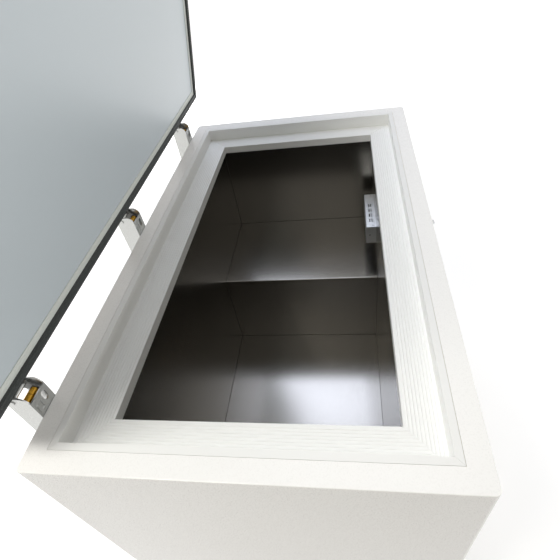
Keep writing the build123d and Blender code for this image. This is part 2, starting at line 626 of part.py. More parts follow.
DRIER_R = 16.0
DRIER_NECK_R = 4.0
DRIER_Y = 196.0
DRIER_Z = 150.0
DRIER_X = BAY_X + 24.0
with BuildPart() as filter_drier:
    with BuildSketch(Plane(origin=(DRIER_X, DRIER_Y, DRIER_Z), x_dir=(1, 0, 0), z_dir=(0, -1, 0))):
        with BuildLine():
            Polyline((0, 0), (DRIER_NECK_R, 0), (DRIER_NECK_R, 18), (DRIER_R, 32), (DRIER_R, 112),
                     (DRIER_NECK_R, 126), (DRIER_NECK_R, 146), (0, 146), close=True)
        make_face()
    revolve(axis=Axis((DRIER_X, DRIER_Y, 0), (0, 0, 1)))
    with Locations((BAY_X + SHEET + FIT, DRIER_Y, DRIER_Z + 72)):
        Box(DRIER_X - BAY_X, 12, 14, align=(Align.MIN, Align.CENTER, Align.CENTER))

with BuildPart() as electrical_box:
    with Locations((CASE_X / 2 - SHEET - FIT - 18, 300, DECK_Z)):
        Box(130, 160, 250, align=(Align.MAX, Align.CENTER, Align.MIN))
    fillet(electrical_box.edges().filter_by(Axis.Z), 4)
    with BuildSketch(Plane(origin=(CASE_X / 2 - SHEET - FIT - 18 - 130, 300, DECK_Z + 125),
                           x_dir=(0, -1, 0), z_dir=(-1, 0, 0))):
        RectangleRounded(150, 236, 6)
    extrude(amount=3)
write_piece(electrical_box.part, "electrical_box")

# Copper lines: discharge to the condenser, suction from the heat exchanger, and the filter drier
PIPE_R = 4.0
PIPE_BEND_R = 12.0
shell_top = foot_z + COMPRESSOR_H + FIT
cond_top = FAN_Z + COND_H / 2 + FIT
exchanger_top = DECK_Z + 280 + FIT
exchanger_x = BAY_X + 94.0
pipe_routes = (
    ((HIGH_X + 12, HIGH_Y, shell_top), (HIGH_X + 12, HIGH_Y, 432), (HIGH_X + 12, COND_Y, 432),
     (HIGH_X + 12, COND_Y, cond_top)),
    ((LOW_X - 12, LOW_Y, shell_top), (LOW_X - 12, LOW_Y, 416), (exchanger_x, LOW_Y, 416), (exchanger_x, 300, 416),
     (exchanger_x, 300, exchanger_top)),
)
pipes = [filter_drier.part]
for route in pipe_routes:
    with BuildPart() as pipe:
        with BuildLine() as path:
            FilletPolyline(*route, radius=PIPE_BEND_R)
        with BuildSketch(Plane(origin=path.line @ 0, z_dir=path.line % 0)):
            Circle(PIPE_R)
        sweep()
    pipes.append(pipe.part)
write_piece(group(pipes), "refrigerant_lines")

# Control panel: a tapered moulded housing with a window, three keys and a rocker
FRONT_Y = -CASE_Y / 2
KEYS_X = PANEL_MID_X + 42
ROCKER_X = PANEL_MID_X + 104
ROCKER_R = 9.0
ROCKER_TILT = 8.0
face_y = FRONT_Y - PANEL_OUT
with BuildPart() as control_housing:
    for inset, out in ((0, FIT), (8, PANEL_OUT)):
        with BuildSketch(Plane(origin=(PANEL_MID_X, FRONT_Y - out, PANEL_MID_Z), x_dir=(1, 0, 0), z_dir=(0, -1, 0))):
            RectangleRounded(PANEL_W - 2 * inset, PANEL_H - 2 * inset, 10)
    loft()
    offset(amount=-PANEL_WALL, openings=control_housing.faces().sort_by(Axis.Y)[-1])
    with BuildSketch(Plane(origin=(PANEL_MID_X, face_y, PANEL_MID_Z), x_dir=(1, 0, 0), z_dir=(0, -1, 0))):
        with Locations((-58, 0)):
            RectangleRounded(104, 50, 3)
        with Locations((KEYS_X - PANEL_MID_X, 0)):
            with GridLocations(KEY_PITCH, 1, KEY_COUNT, 1):
                RectangleRounded(KEY_W + 2 * FIT, KEY_W + 2 * FIT, 3)
        with Locations((ROCKER_X - PANEL_MID_X, 0)):
            Rectangle(13 + 2 * FIT, 2 * ROCKER_R + 2 * FIT)
    extrude(amount=-PANEL_WALL - 1, mode=Mode.SUBTRACT)
write_piece(control_housing.part, "control_housing")

with BuildPart() as display_window:
    with BuildSketch(Plane(origin=(PANEL_MID_X - 58, face_y + 0.6, PANEL_MID_Z), x_dir=(1, 0, 0), z_dir=(0, -1, 0))):
        RectangleRounded(104 - 2 * FIT, 50 - 2 * FIT, 3 - FIT)
    extrude(amount=-PANEL_WALL - FIT + 0.6)
    with BuildSketch(Plane(origin=(PANEL_MID_X - 58, face_y + PANEL_WALL + FIT, PANEL_MID_Z),
                           x_dir=(1, 0, 0), z_dir=(0, -1, 0))):
        RectangleRounded(112, 58, 3)
    extrude(amount=-1.6)
write_piece(display_window.part, "display_window")

for key in range(KEY_COUNT):
    key_x = KEYS_X + (key - (KEY_COUNT - 1) / 2) * KEY_PITCH
    with BuildPart() as panel_key:
        with BuildSketch(Plane(origin=(key_x, face_y + PANEL_WALL + FIT, PANEL_MID_Z), x_dir=(1, 0, 0), z_dir=(0, -1, 0))):
            RectangleRounded(KEY_W, KEY_W, 2.5)
        extrude(amount=PANEL_WALL + FIT + 2)
        fillet(panel_key.faces().sort_by(Axis.Y)[0].edges(), 0.8)
        with Locations((key_x, face_y + PANEL_WALL + FIT, PANEL_MID_Z)):
            Box(KEY_W + 3, 2, KEY_W + 3, align=(Align.CENTER, Align.MIN, Align.CENTER))
    write_piece(panel_key.part, f"panel_key_{key + 1}")

# Rocker: a drum segment whose two faces meet in a shallow V
rocker_y = face_y + 4.0
with BuildPart() as power_rocker:
    with BuildSketch(Plane(origin=(ROCKER_X, rocker_y, PANEL_MID_Z), x_dir=(0, -1, 0), z_dir=(1, 0, 0))):
        Circle(ROCKER_R)
        with PolarLocations(ROCKER_R + 3.4, 1, ROCKER_TILT):
            RegularPolygon(2 * ROCKER_R, 3, rotation=180, mode=Mode.SUBTRACT)
    extrude(amount=6.5, both=True)
write_piece(power_rocker.part, "power_rocker")

# Blanked cord gland on the rear cover and a plugged probe port through the back wall
with BuildPart() as cord_gland:
    with BuildSketch(Plane(origin=(COVER_X1 - 26, CASE_Y / 2 + FIT, CASE_Z0 + 22), x_dir=(1, 0, 0), z_dir=(0, 1, 0))):
        RegularPolygon(15, 6)
    extrude(amount=7)
    with BuildSketch(Plane(origin=(COVER_X1 - 26, CASE_Y / 2 + FIT + 7, CASE_Z0 + 22), x_dir=(1, 0, 0), z_dir=(0, 1, 0))):
        Circle(11.5)
    extrude(amount=16, taper=8)
    fillet(cord_gland.edges().filter_by(GeomType.CIRCLE).sort_by(Axis.Y)[-1], 2)
write_piece(cord_gland.part, "cord_gland")

PORT_X, PORT_Z = 270.0 - CASE_X / 2, 800.0
with BuildPart() as port_cap:
    with BuildSketch(Plane(origin=(PORT_X, CASE_Y / 2 + FIT, PORT_Z), x_dir=(1, 0, 0), z_dir=(0, 1, 0))):
        Circle(24)
    extrude(amount=4)
    with BuildSketch(Plane(origin=(PORT_X, CASE_Y / 2 + FIT + 4, PORT_Z), x_dir=(1, 0, 0), z_dir=(0, 1, 0))):
        Circle(16)
    extrude(amount=14, taper=6)
    fillet(port_cap.edges().filter_by(GeomType.CIRCLE).sort_by(Axis.Y)[-1], 2)
write_piece(port_cap.part, "port_cap")

# Hinge channels: web on the case's back, two cheeks around the pivot, a seat for the spring
channel_z0 = RIM_Z - CHANNEL_DROP
web_y = CASE_Y / 2 + FIT
channels, springs, cups, pins, channel_screws = [], [], [], [], []
cup_top = PIVOT_Z - math.hypot(CAM_DY, CAM_DZ) - BUSH_R - 0.8
for hx in HINGE_X:
    with BuildPart() as channel:
        with BuildSketch(Plane(origin=(hx, 0, 0), x_dir=(0, 1, 0), z_dir=(1, 0, 0))):
            with Locations((web_y, channel_z0)):
                Rectangle(CHANNEL_DEPTH, RIM_Z + CHEEK_UP - channel_z0, align=(Align.MIN, Align.MIN))
        extrude(amount=CHANNEL_W / 2, both=True)
        fillet(channel.edges().filter_by(Axis.X).group_by(Axis.Z)[-1], 18)
        fillet(channel.edges().filter_by(Axis.X).group_by(Axis.Z)[0].sort_by(Axis.Y)[-1:], 14)
        with Locations((hx, web_y + CHANNEL_T, channel_z0 + CHANNEL_T)):
            Box(CHANNEL_W - 2 * CHANNEL_T, CHANNEL_DEPTH, RIM_Z + CHEEK_UP,
                align=(Align.CENTER, Align.MIN, Align.MIN), mode=Mode.SUBTRACT)
        with Locations((hx, web_y, RIM_Z + WEB_UP)):
            Box(CHANNEL_W - 2 * CHANNEL_T, CHANNEL_T * 2, CHEEK_UP,
                align=(Align.CENTER, Align.MIN, Align.MIN), mode=Mode.SUBTRACT)
        with BuildSketch(Plane(origin=(hx, web_y, RIM_Z + 25), x_dir=(1, 0, 0), z_dir=(0, -1, 0))):
            with Locations((9, 0)):
                SlotOverall(24, 12, rotation=90)
        extrude(amount=-2 * CHANNEL_T, mode=Mode.SUBTRACT)
        # Pressed stop beside the window
        with BuildSketch(Plane(origin=(hx, web_y, RIM_Z + 18), x_dir=(1, 0, 0), z_dir=(0, -1, 0))):
            with Locations((-11, 0)):
                RectangleRounded(17, 24, 4)
                with Locations((0, 3)):
                    RectangleRounded(10, 20, 3, mode=Mode.SUBTRACT)
        extrude(amount=2.2)
        with BuildSketch(Plane(origin=(hx, PIVOT_Y, PIVOT_Z), x_dir=(0, 1, 0), z_dir=(1, 0, 0))):
            Circle(PIN_R + RUN)
        extrude(amount=CHANNEL_W, both=True, mode=Mode.SUBTRACT)
    channels.append(channel.part)
    with BuildPart() as pin:
        with BuildSketch(Plane(origin=(hx - CHANNEL_W / 2 - FIT, PIVOT_Y, PIVOT_Z), x_dir=(0, 1, 0), z_dir=(1, 0, 0))):
            Circle(PIN_R)
        extrude(amount=CHANNEL_W + 2 * FIT)
        for end in (-1, 1):
            with BuildSketch(Plane(origin=(hx + end * (CHANNEL_W / 2 + FIT), PIVOT_Y, PIVOT_Z),
                                   x_dir=(0, 1, 0), z_dir=(end, 0, 0))):
                Circle(PIN_R + 2.5)
            extrude(amount=2)
    pins.append(pin.part)
    with BuildPart() as cup:
        with BuildSketch(Plane.XY.offset(cup_top)):
            with Locations((hx, PIVOT_Y - 6)):
                Circle(SPRING_R + 2)
        extrude(amount=-4)
        with BuildSketch(Plane.XY.offset(cup_top - 4)):
            with Locations((hx, PIVOT_Y - 6)):
                Circle(SPRING_R - SPRING_WIRE - FIT)
        extrude(amount=-40)
    cups.append(cup.part)
    coil_z0 = channel_z0 + CHANNEL_T + FIT
    coil_z1 = cup_top - 4 - FIT
    coil_h = (coil_z1 - coil_z0) / SPRING_COILS
    ripple = []
    for turn in range(SPRING_COILS):
        z = coil_z0 + turn * coil_h
        ripple += [(SPRING_R - 2, z), (SPRING_R, z + coil_h / 4), (SPRING_R, z + coil_h / 2),
                   (SPRING_R - 2, z + coil_h * 3 / 4)]
    with BuildPart() as spring:
        with BuildSketch(Plane(origin=(hx, PIVOT_Y - 6, 0), x_dir=(1, 0, 0), z_dir=(0, -1, 0))):
            with BuildLine():
                Polyline((SPRING_R - SPRING_WIRE, coil_z0), *ripple, (SPRING_R - 2, coil_z1),
                         (SPRING_R - SPRING_WIRE, coil_z1), close=True)
            make_face()
        revolve(axis=Axis((hx, PIVOT_Y - 6, 0), (0, 0, 1)))
    springs.append(spring.part)
    for dx, dz in ((-16, -60), (16, -60), (-16, -200), (16, -200)):
        with BuildPart() as screw:
            with BuildSketch(Plane(origin=(hx + dx, web_y + CHANNEL_T + FIT, RIM_Z + dz),
                                   x_dir=(1, 0, 0), z_dir=(0, 1, 0))):
                Circle(4.2)
            extrude(amount=2.6)
            fillet(screw.edges().filter_by(GeomType.CIRCLE).sort_by(Axis.Y)[-1], 1.2)
        channel_screws.append(screw.part)
write_piece(group(channels), "hinge_channels")
write_piece(group(pins), "hinge_pins")
write_piece(group(cups), "spring_cups")
write_piece(group(springs), "hinge_springs")
write_piece(group(channel_screws), "channel_screws")

# Hinge leaves on the lid's back, with the cam pin and its two brass bushes
leaves, bushes, leaf_screws = [], [], []
lid_back = LID_REAR_Y + FIT
arm_y = PIVOT_Y + 16.0
arm_z = RIM_Z + 62.0
for hx in HINGE_X:
    with BuildPart() as leaf:
        with BuildSketch(Plane(origin=(hx, 0, 0), x_dir=(0, 1, 0), z_dir=(1, 0, 0))):
            with BuildLine():
                Polyline((lid_back, LEAF_Z0), (lid_back, LEAF_TOP_Z), (arm_y, LEAF_TOP_Z),
                         (arm_y, LEAF_TOP_Z - LEAF_T), (lid_back + LEAF_T, LEAF_TOP_Z - LEAF_T),
                         (lid_back + LEAF_T, LEAF_Z0), close=True)
            make_face()
        extrude(amount=LEAF_W / 2, both=True)
        for way in (-1, 1):
            cheek_x = hx + way * LEAF_W / 2
            with BuildSketch(Plane(origin=(cheek_x, 0, 0), x_dir=(0, 1, 0), z_dir=(1, 0, 0))):
                with Locations((PIVOT_Y, PIVOT_Z)):
                    Circle(10)
                with Locations((PIVOT_Y + CAM_DY, PIVOT_Z + CAM_DZ)):
                    Circle(8)
                with Locations((PIVOT_Y, PIVOT_Z)):
                    Rectangle(16, 40, align=(Align.CENTER, Align.MIN))
                make_hull()
                with Locations((lid_back, arm_z)):
                    Rectangle(arm_y - lid_back, LEAF_TOP_Z - arm_z, align=(Align.MIN, Align.MIN))
                with Locations((PIVOT_Y, PIVOT_Z)):
                    Circle(PIN_R + RUN, mode=Mode.SUBTRACT)
            extrude(amount=-way * LEAF_T)
        with BuildSketch(Plane(origin=(hx, PIVOT_Y + CAM_DY, PIVOT_Z + CAM_DZ), x_dir=(0, 1, 0), z_dir=(1, 0, 0))):
            Circle(CAM_PIN_R)
        extrude(amount=LEAF_W / 2 + 1, both=True)
    leaves.append(leaf.part)
    bush_x = hx - LEAF_W / 2 + LEAF_T + FIT
    for bush_number in range(2):
        with BuildPart() as bush:
            with BuildSketch(Plane(origin=(bush_x + bush_number * (BUSH_L + BUSH_GAP), PIVOT_Y + CAM_DY, PIVOT_Z + CAM_DZ),
                                   x_dir=(0, 1, 0), z_dir=(1, 0, 0))):
                Circle(BUSH_R)
                Circle(CAM_PIN_R + RUN, mode=Mode.SUBTRACT)
            extrude(amount=BUSH_L)
        bushes.append(bush.part)
    for dx in (-12, 12):
        with BuildPart() as screw:
            with BuildSketch(Plane(origin=(hx + dx, lid_back + LEAF_T + FIT, LEAF_Z0 + 16), x_dir=(1, 0, 0), z_dir=(0, 1, 0))):
                Circle(4.2)
            extrude(amount=2.6)
            fillet(screw.edges().filter_by(GeomType.CIRCLE).sort_by(Axis.Y)[-1], 1.2)
        leaf_screws.append(screw.part)
write_lid_piece(group(leaves), "hinge_leaves")
write_lid_piece(group(bushes), "hinge_bushes")
write_lid_piece(group(leaf_screws), "leaf_screws")

# Lid: painted pan with a hem, foam, plastic border, dark gasket and a flat inner panel
with BuildPart() as lid_shell:
    with BuildSketch(Plane.XY.offset(LID_Z0)):
        with Locations(LID_MID):
            RectangleRounded(LID_X, LID_Y, LID_CORNER_R)
    extrude(amount=LID_H)
    fillet(lid_shell.faces().sort_by(Axis.Z)[-1].edges(), 6)
    with BuildSketch(Plane.XY.offset(LID_Z0)):
        with Locations(LID_MID):
            RectangleRounded(LID_X - 2 * LID_HEM, LID_Y - 2 * LID_HEM, LID_HEM)
    extrude(amount=SHEET, mode=Mode.SUBTRACT)
    with BuildSketch(Plane.XY.offset(LID_Z0 + SHEET)):
        with Locations(LID_MID):
            RectangleRounded(LID_X - 2 * SHEET, LID_Y - 2 * SHEET, LID_CORNER_R - SHEET)
    extrude(amount=LID_H - 2 * SHEET - 6, mode=Mode.SUBTRACT)
    with BuildSketch(Plane.XY.offset(LID_TOP_Z - SHEET - 6)):
        with Locations(LID_MID):
            RectangleRounded(LID_X - 2 * SHEET - 12, LID_Y - 2 * SHEET - 12, LID_CORNER_R - SHEET)
    extrude(amount=6, mode=Mode.SUBTRACT)
write_lid_piece(lid_shell.part, "lid_shell")

lid_in_x = LID_X - 2 * LID_HEM
lid_in_y = LID_Y - 2 * LID_HEM
gasket_profile = ((0, LID_Z0), (0, LID_Z0 - GASKET_H), (-5, LID_Z0 - GASKET_H), (-6.5, LID_Z0 - GASKET_H + 2),
                  (-9.5, LID_Z0 - GASKET_H + 2), (-11, LID_Z0 - GASKET_H), (-GASKET_W, LID_Z0 - GASKET_H),
                  (-GASKET_W, LID_Z0))
border_in = GASKET_W + BORDER_W
border_profile = ((-BORDER_TUCK, LID_Z0 + FIT), (-GASKET_W - FIT, LID_Z0 + FIT), (-GASKET_W - FIT, LID_Z0 - BORDER_PROUD),
                  (-GASKET_W - BORDER_W / 2 + 1, LID_Z0 - BORDER_PROUD),
                  (-GASKET_W - BORDER_W / 2, LID_Z0 - BORDER_PROUD + 0.8),
                  (-GASKET_W - BORDER_W / 2 - 1, LID_Z0 - BORDER_PROUD),
                  (-border_in, LID_Z0 - BORDER_PROUD), (-border_in, LID_Z0 + BORDER_T), (-BORDER_TUCK, LID_Z0 + BORDER_T))
write_lid_piece(group(mitred_strip(gasket_profile, side, lid_in_x, lid_in_y, LID_MID) for side in SIDES), "lid_gasket")
write_lid_piece(group(mitred_strip(border_profile, side, lid_in_x, lid_in_y, LID_MID) for side in SIDES), "lid_border")

with BuildPart() as lid_panel:
    with BuildSketch(Plane.XY.offset(LID_Z0)):
        with Locations(LID_MID):
            Rectangle(lid_in_x - 2 * border_in - 2 * FIT, lid_in_y - 2 * border_in - 2 * FIT)
    extrude(amount=PANEL_T)
write_lid_piece(lid_panel.part, "lid_panel")

with BuildPart() as lid_foam:
    with BuildSketch(Plane.XY.offset(LID_Z0 + BORDER_T + FIT)):
        with Locations(LID_MID):
            RectangleRounded(LID_X - 2 * SHEET - 2 * FIT, LID_Y - 2 * SHEET - 2 * FIT, LID_CORNER_R - SHEET)
    extrude(amount=LID_H - BORDER_T - SHEET - 2 * FIT - 6)
write_lid_piece(lid_foam.part, "lid_foam")

# Handle on the lid's front: a bowed bar on two feet
handle_z = LID_Z0 + LID_H * 0.62
foot_y = LID_FRONT_Y - FIT
with BuildPart() as lid_handle:
    with BuildLine() as bar:
        FilletPolyline((-HANDLE_L / 2, foot_y, handle_z), (-HANDLE_L / 2, foot_y - HANDLE_OUT, handle_z),
                       (HANDLE_L / 2, foot_y - HANDLE_OUT, handle_z), (HANDLE_L / 2, foot_y, handle_z), radius=24)
    with BuildSketch(Plane(origin=bar.line @ 0, x_dir=(0, 0, 1), z_dir=bar.line % 0)):
        RectangleRounded(HANDLE_W, HANDLE_T, 5)
    sweep()
    with BuildSketch(Plane(origin=(0, foot_y, handle_z), x_dir=(1, 0, 0), z_dir=(0, -1, 0))):
        with Locations((-HANDLE_L / 2, 0), (HANDLE_L / 2, 0)):
            RectangleRounded(38, 40, 6)
    extrude(amount=4)
write_lid_piece(lid_handle.part, "lid_handle")

# Swing hook lock: body on the lid, turning cylinder with its hook, keeper on the case
lock_x = 0.0
with BuildPart() as lock_body:
    with BuildSketch(Plane(origin=(lock_x, LID_FRONT_Y - FIT, LOCK_Z), x_dir=(1, 0, 0), z_dir=(0, -1, 0))):
        Circle(LOCK_BODY_R)
    extrude(amount=LOCK_BODY_OUT)
    fillet(lock_body.edges().filter_by(GeomType.CIRCLE).sort_by(Axis.Y)[0], 3)
    with BuildSketch(Plane(origin=(lock_x, LID_FRONT_Y - FIT - LOCK_BODY_OUT, LOCK_Z), x_dir=(1, 0, 0), z_dir=(0, -1, 0))):
        Circle(8 + RUN)
    extrude(amount=-LOCK_BODY_OUT + 2, mode=Mode.SUBTRACT)
write_lid_piece(lock_body.part, "lock_body")

hook_y = LID_FRONT_Y - FIT - LOCK_BODY_OUT - 1.0
with BuildPart() as lock_cylinder:
    with BuildSketch(Plane(origin=(lock_x, hook_y, LOCK_Z), x_dir=(1, 0, 0), z_dir=(0, -1, 0))):
        Circle(8)
    extrude(amount=-LOCK_BODY_OUT + 2)
    with BuildSketch(Plane(origin=(lock_x, hook_y, LOCK_Z), x_dir=(1, 0, 0), z_dir=(0, -1, 0))):
        Circle(12)
        with Locations((HOOK_R / 2, 0)):
            Rectangle(HOOK_R, 14)
    extrude(amount=HOOK_T)
    with Locations((lock_x + HOOK_R, hook_y - HOOK_T, LOCK_Z)):
        Box(3, HOOK_T + 9, 14, align=(Align.MAX, Align.MIN, Align.CENTER))
    with BuildSketch(Plane(origin=(lock_x, hook_y - HOOK_T, LOCK_Z), x_dir=(1, 0, 0), z_dir=(0, -1, 0))):
        Circle(9)
        Rectangle(1.8, 9, mode=Mode.SUBTRACT)
    extrude(amount=3)
write_lid_piece(lock_cylinder.part, "lock_cylinder")

with BuildPart() as lock_keeper:
    with BuildSketch(Plane(origin=(lock_x, FRONT_Y - FIT, KEEPER_Z), x_dir=(0, -1, 0), z_dir=(-1, 0, 0))):
        with BuildLine():
            Polyline((0, 0), (KEEPER_OUT - 4, 0), (KEEPER_OUT - 4, -3), (3, -3), (3, -34), (0, -34), close=True)
        make_face()
    extrude(amount=8, both=True)
write_piece(lock_keeper.part, "lock_keeper")

# Casters
yoke_z = WHEEL_R
arm_x = WHEEL_W / 2 + YOKE_GAP
plates = []
for corner_y, row in ((-CASTER_Y, "front"), (CASTER_Y, "rear")):
    for corner_x, end in ((-CASTER_X, "left"), (CASTER_X, "right")):
        with BuildPart() as plate:
            with BuildSketch(Plane.XY.offset(CASTER_H - 3)):
                with Locations((corner_x, corner_y)):
                    RectangleRounded(72, RAIL_W, 5)
            extrude(amount=3)
            with BuildSketch(Plane.XY.offset(CASTER_H - 3)):
                with Locations((corner_x, corner_y)):
                    Circle(5)
            extrude(amount=-9)
        plates.append(plate.part)
        hub_x = corner_x - TRAIL
        with BuildPart() as yoke:
            with BuildSketch(Plane.XY.offset(CASTER_H - 3 - FIT)):
                with Locations((corner_x, corner_y)):
                    Circle(18)
            extrude(amount=-6)
            with BuildSketch(Plane(origin=(corner_x, corner_y, 0), x_dir=(1, 0, 0), z_dir=(0, -1, 0))):
                with Locations((-TRAIL, WHEEL_R)):
                    Circle(9)
                with Locations((0, CASTER_H - 9 - FIT)):
                    Rectangle(34, 6, align=(Align.CENTER, Align.MAX))
                make_hull()
            extrude(amount=arm_x + YOKE_T, both=True)
            with Locations((corner_x, corner_y, CASTER_H - 9 - FIT - YOKE_T)):
                Box(120, 2 * arm_x, 120, align=(Align.CENTER, Align.CENTER, Align.MAX), mode=Mode.SUBTRACT)
            with BuildSketch(Plane.XY.offset(CASTER_H - 3)):
                with Locations((corner_x, corner_y)):
                    Circle(5 + RUN)
            extrude(amount=-30, mode=Mode.SUBTRACT)
            with BuildSketch(Plane(origin=(hub_x, corner_y, WHEEL_R), x_dir=(1, 0, 0), z_dir=(0, -1, 0))):
                Circle(AXLE_R)
            extrude(amount=arm_x + YOKE_T + 2, both=True)
        write_piece(yoke.part, f"caster_yoke_{row}_{end}")
        with BuildPart() as wheel:
            with BuildSketch(Plane(origin=(hub_x, corner_y, WHEEL_R), x_dir=(1, 0, 0), z_dir=(0, 0, 1))):
                with BuildLine():
                    half = WHEEL_W / 2
                    Polyline((AXLE_R + RUN, -half), (AXLE_R + RUN, half), (12, half), (14, half - 4),
                             (22, half - 4), (24, half - 1), (WHEEL_R - 3, half - 1))
                    RadiusArc((WHEEL_R - 3, half - 1), (WHEEL_R, half - 4), 3)
                    Line((WHEEL_R, half - 4), (WHEEL_R, 4 - half))
                    RadiusArc((WHEEL_R, 4 - half), (WHEEL_R - 3, 1 - half), 3)
                    Polyline((WHEEL_R - 3, 1 - half), (24, 1 - half), (22, 4 - half), (14, 4 - half),
                             (12, -half), (AXLE_R + RUN, -half))
                make_face()
            revolve(axis=Axis((hub_x, corner_y, WHEEL_R), (0, 1, 0)))
        write_piece(wheel.part, f"caster_wheel_{row}_{end}")
write_piece(group(plates), "caster_plates")
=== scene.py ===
import math

import bmesh
import bpy
from bpy.props import FloatProperty, FloatVectorProperty, PointerProperty, StringProperty
from mathutils import Matrix, Vector


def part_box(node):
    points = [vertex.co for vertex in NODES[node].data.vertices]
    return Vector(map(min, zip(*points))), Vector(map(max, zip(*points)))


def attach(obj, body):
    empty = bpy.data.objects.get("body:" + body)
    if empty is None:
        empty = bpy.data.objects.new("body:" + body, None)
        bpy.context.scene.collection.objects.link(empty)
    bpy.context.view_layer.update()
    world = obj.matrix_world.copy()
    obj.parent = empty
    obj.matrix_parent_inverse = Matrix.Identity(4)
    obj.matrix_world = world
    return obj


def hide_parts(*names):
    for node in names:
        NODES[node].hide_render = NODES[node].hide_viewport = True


bl_info = {
    "name": "Chest ultra low temperature freezer",
    "version": (1, 0, 0),
    "blender": (4, 5, 0),
    "location": "View3D > Sidebar > Freezer",
    "description": "Finishes and details for an open chest freezer",
    "category": "Object",
}

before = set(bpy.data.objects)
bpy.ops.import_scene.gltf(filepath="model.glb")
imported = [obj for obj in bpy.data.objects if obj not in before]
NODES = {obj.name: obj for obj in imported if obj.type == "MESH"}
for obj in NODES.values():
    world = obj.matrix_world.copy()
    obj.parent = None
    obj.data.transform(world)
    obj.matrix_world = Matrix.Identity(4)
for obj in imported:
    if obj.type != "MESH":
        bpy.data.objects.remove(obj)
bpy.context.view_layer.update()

# Real places and sizes, in metres, and turns, in radians. The frame gives the rest

# The hinges and the swing of the lid as it is stored
HINGE_X = (-0.560, 0.0, 0.560)
PIVOT = Vector((0, 0.436, 1.005))
LID_OPEN = math.radians(79.3)

# Screws of a hinge: across from its middle, up on the channel, and turn of the recess
CHANNEL_SCREWS = ((-0.016, 0.895, 0.3), (0.016, 0.895, 1.1), (-0.016, 0.755, 0.8), (0.016, 0.755, 0.1))
CHANNEL_SCREW_Y = 0.4031
LEAF_SCREWS = ((-0.012, 0.5), (0.012, 1.3))
LEAF_SCREW_Y = 0.3656
LEAF_SCREW_Z = 0.9834

# The case's faces, and how far in from a cover's edges its screws are
CASE_HALF_X = 0.690
CASE_HALF_Y = 0.400
GRILLE_SCREW_IN_X = 0.014
GRILLE_SCREW_IN_Z = 0.016
END_SCREW_Y = 0.355
END_SCREW_IN_Z = 0.02

# Casters, the bolts of their plates and the nuts of their axles
CASTER_X = 0.610
CASTER_Y = 0.350
BOLT_OUT_X = 0.028
BOLT_OUT_Y = 0.017
BOLT_HEIGHT = 0.0032
BOLT_WASHER_RADIUS = 0.0065
YOKE_OUT = 0.0165
NUT_FLATS = 0.013
NUT_HEIGHT = 0.0045
NUT_WASHER_RADIUS = 0.0085

# Marks on the keys and the reading in the window
KEY_MARK_RADIUS = 0.0042
KEY_RING_WIDTH = 0.0012
PRINT_DEPTH = 0.0002
DIGIT_SHARE = 0.5
STROKE_SHARE = 0.13
DIGIT_PITCH = 1.7

# Bars of a digit: across and up from its middle in half widths, and whether the bar stands upright
SEGMENTS = {
    "-": ((0, 0, 0),),
    "8": ((0, 0, 0), (0, 2, 0), (0, -2, 0), (-1, 1, 1), (1, 1, 1), (-1, -1, 1), (1, -1, 1)),
    "0": ((0, 2, 0), (0, -2, 0), (-1, 1, 1), (1, 1, 1), (-1, -1, 1), (1, -1, 1)),
}

# Corners of the chamber
LINER_HALF_X = 0.568
LINER_HALF_Y = 0.283
STEP_X = 0.196
DEEP_Z = 0.225
SHALLOW_Z = 0.550
COLLAR_FOOT_Z = 0.890

# The floor, and the distances between which its glow rises to the far one
FLOOR_SIZE = 30.0
GLOW_START = 1.4
GLOW_END = 3.4
FAR_GLOW = 0.8

# Points closer than this are merged, and edges sharper than this stay sharp
MERGE_DISTANCE = 1e-6
SHARP_ANGLE = math.radians(35.0)


# Colour and node helpers

def linear(colour):
    """Linear RGBA of an sRGB hex colour."""
    channels = [int(colour[i:i + 2], 16) / 255 for i in (1, 3, 5)]
    return [c / 12.92 if c <= 0.04045 else ((c + 0.055) / 1.055) ** 2.4 for c in channels] + [1.0]


def add_node(tree, kind, links=(), **values):
    """Add a shader node. Values are attributes or sockets, links are (socket, source socket)."""
    new = tree.nodes.new(kind)
    for key, value in values.items():
        if hasattr(new, key):
            setattr(new, key, value)
        else:
            new.inputs[key.replace("_", " ")].default_value = value
    for socket, source in links:
        tree.links.new(source, new.inputs[socket])
    return new


def new_material(name, colour, roughness, metallic=0.0, **sockets):
    """A Principled material with its colour from an sRGB hex value, its node tree and its shader."""
    material = bpy.data.materials.new(name)
    material.use_nodes = True
    shader = material.node_tree.nodes["Principled BSDF"]
    shader.inputs["Base Color"].default_value = linear(colour)
    shader.inputs["Roughness"].default_value = roughness
    shader.inputs["Metallic"].default_value = metallic
    for key, value in sockets.items():
        shader.inputs[key.replace("_", " ")].default_value = value
    return material, material.node_tree, shader


def speckle(tree, shader, scale, strength, distance, stretch=(1, 1, 1)):
    """Fine relief from noise on Object coordinates, 1 / scale metres across. Returns the noise node."""
    place = add_node(tree, "ShaderNodeTexCoord")
    mapping = add_node(tree, "ShaderNodeMapping", [("Vector", place.outputs["Object"])], Scale=stretch)
    noise = add_node(tree, "ShaderNodeTexNoise", [("Vector", mapping.outputs["Vector"])],
                     Scale=scale, Detail=3.0, Roughness=0.6)
    bump = add_node(tree, "ShaderNodeBump", [("Height", noise.outputs["Fac"])],
                    Strength=strength, Distance=distance)
    tree.links.new(bump.outputs["Normal"], shader.inputs["Normal"])
    return noise


def vary(tree, shader, noise, socket, low, high):
    """Let a noise move a grey socket between two values."""
    spread = add_node(tree, "ShaderNodeMapRange", [("Value", noise.outputs["Fac"])],
                      From_Min=0.3, From_Max=0.7, To_Min=low, To_Max=high)
    tree.links.new(spread.outputs["Result"], shader.inputs[socket])


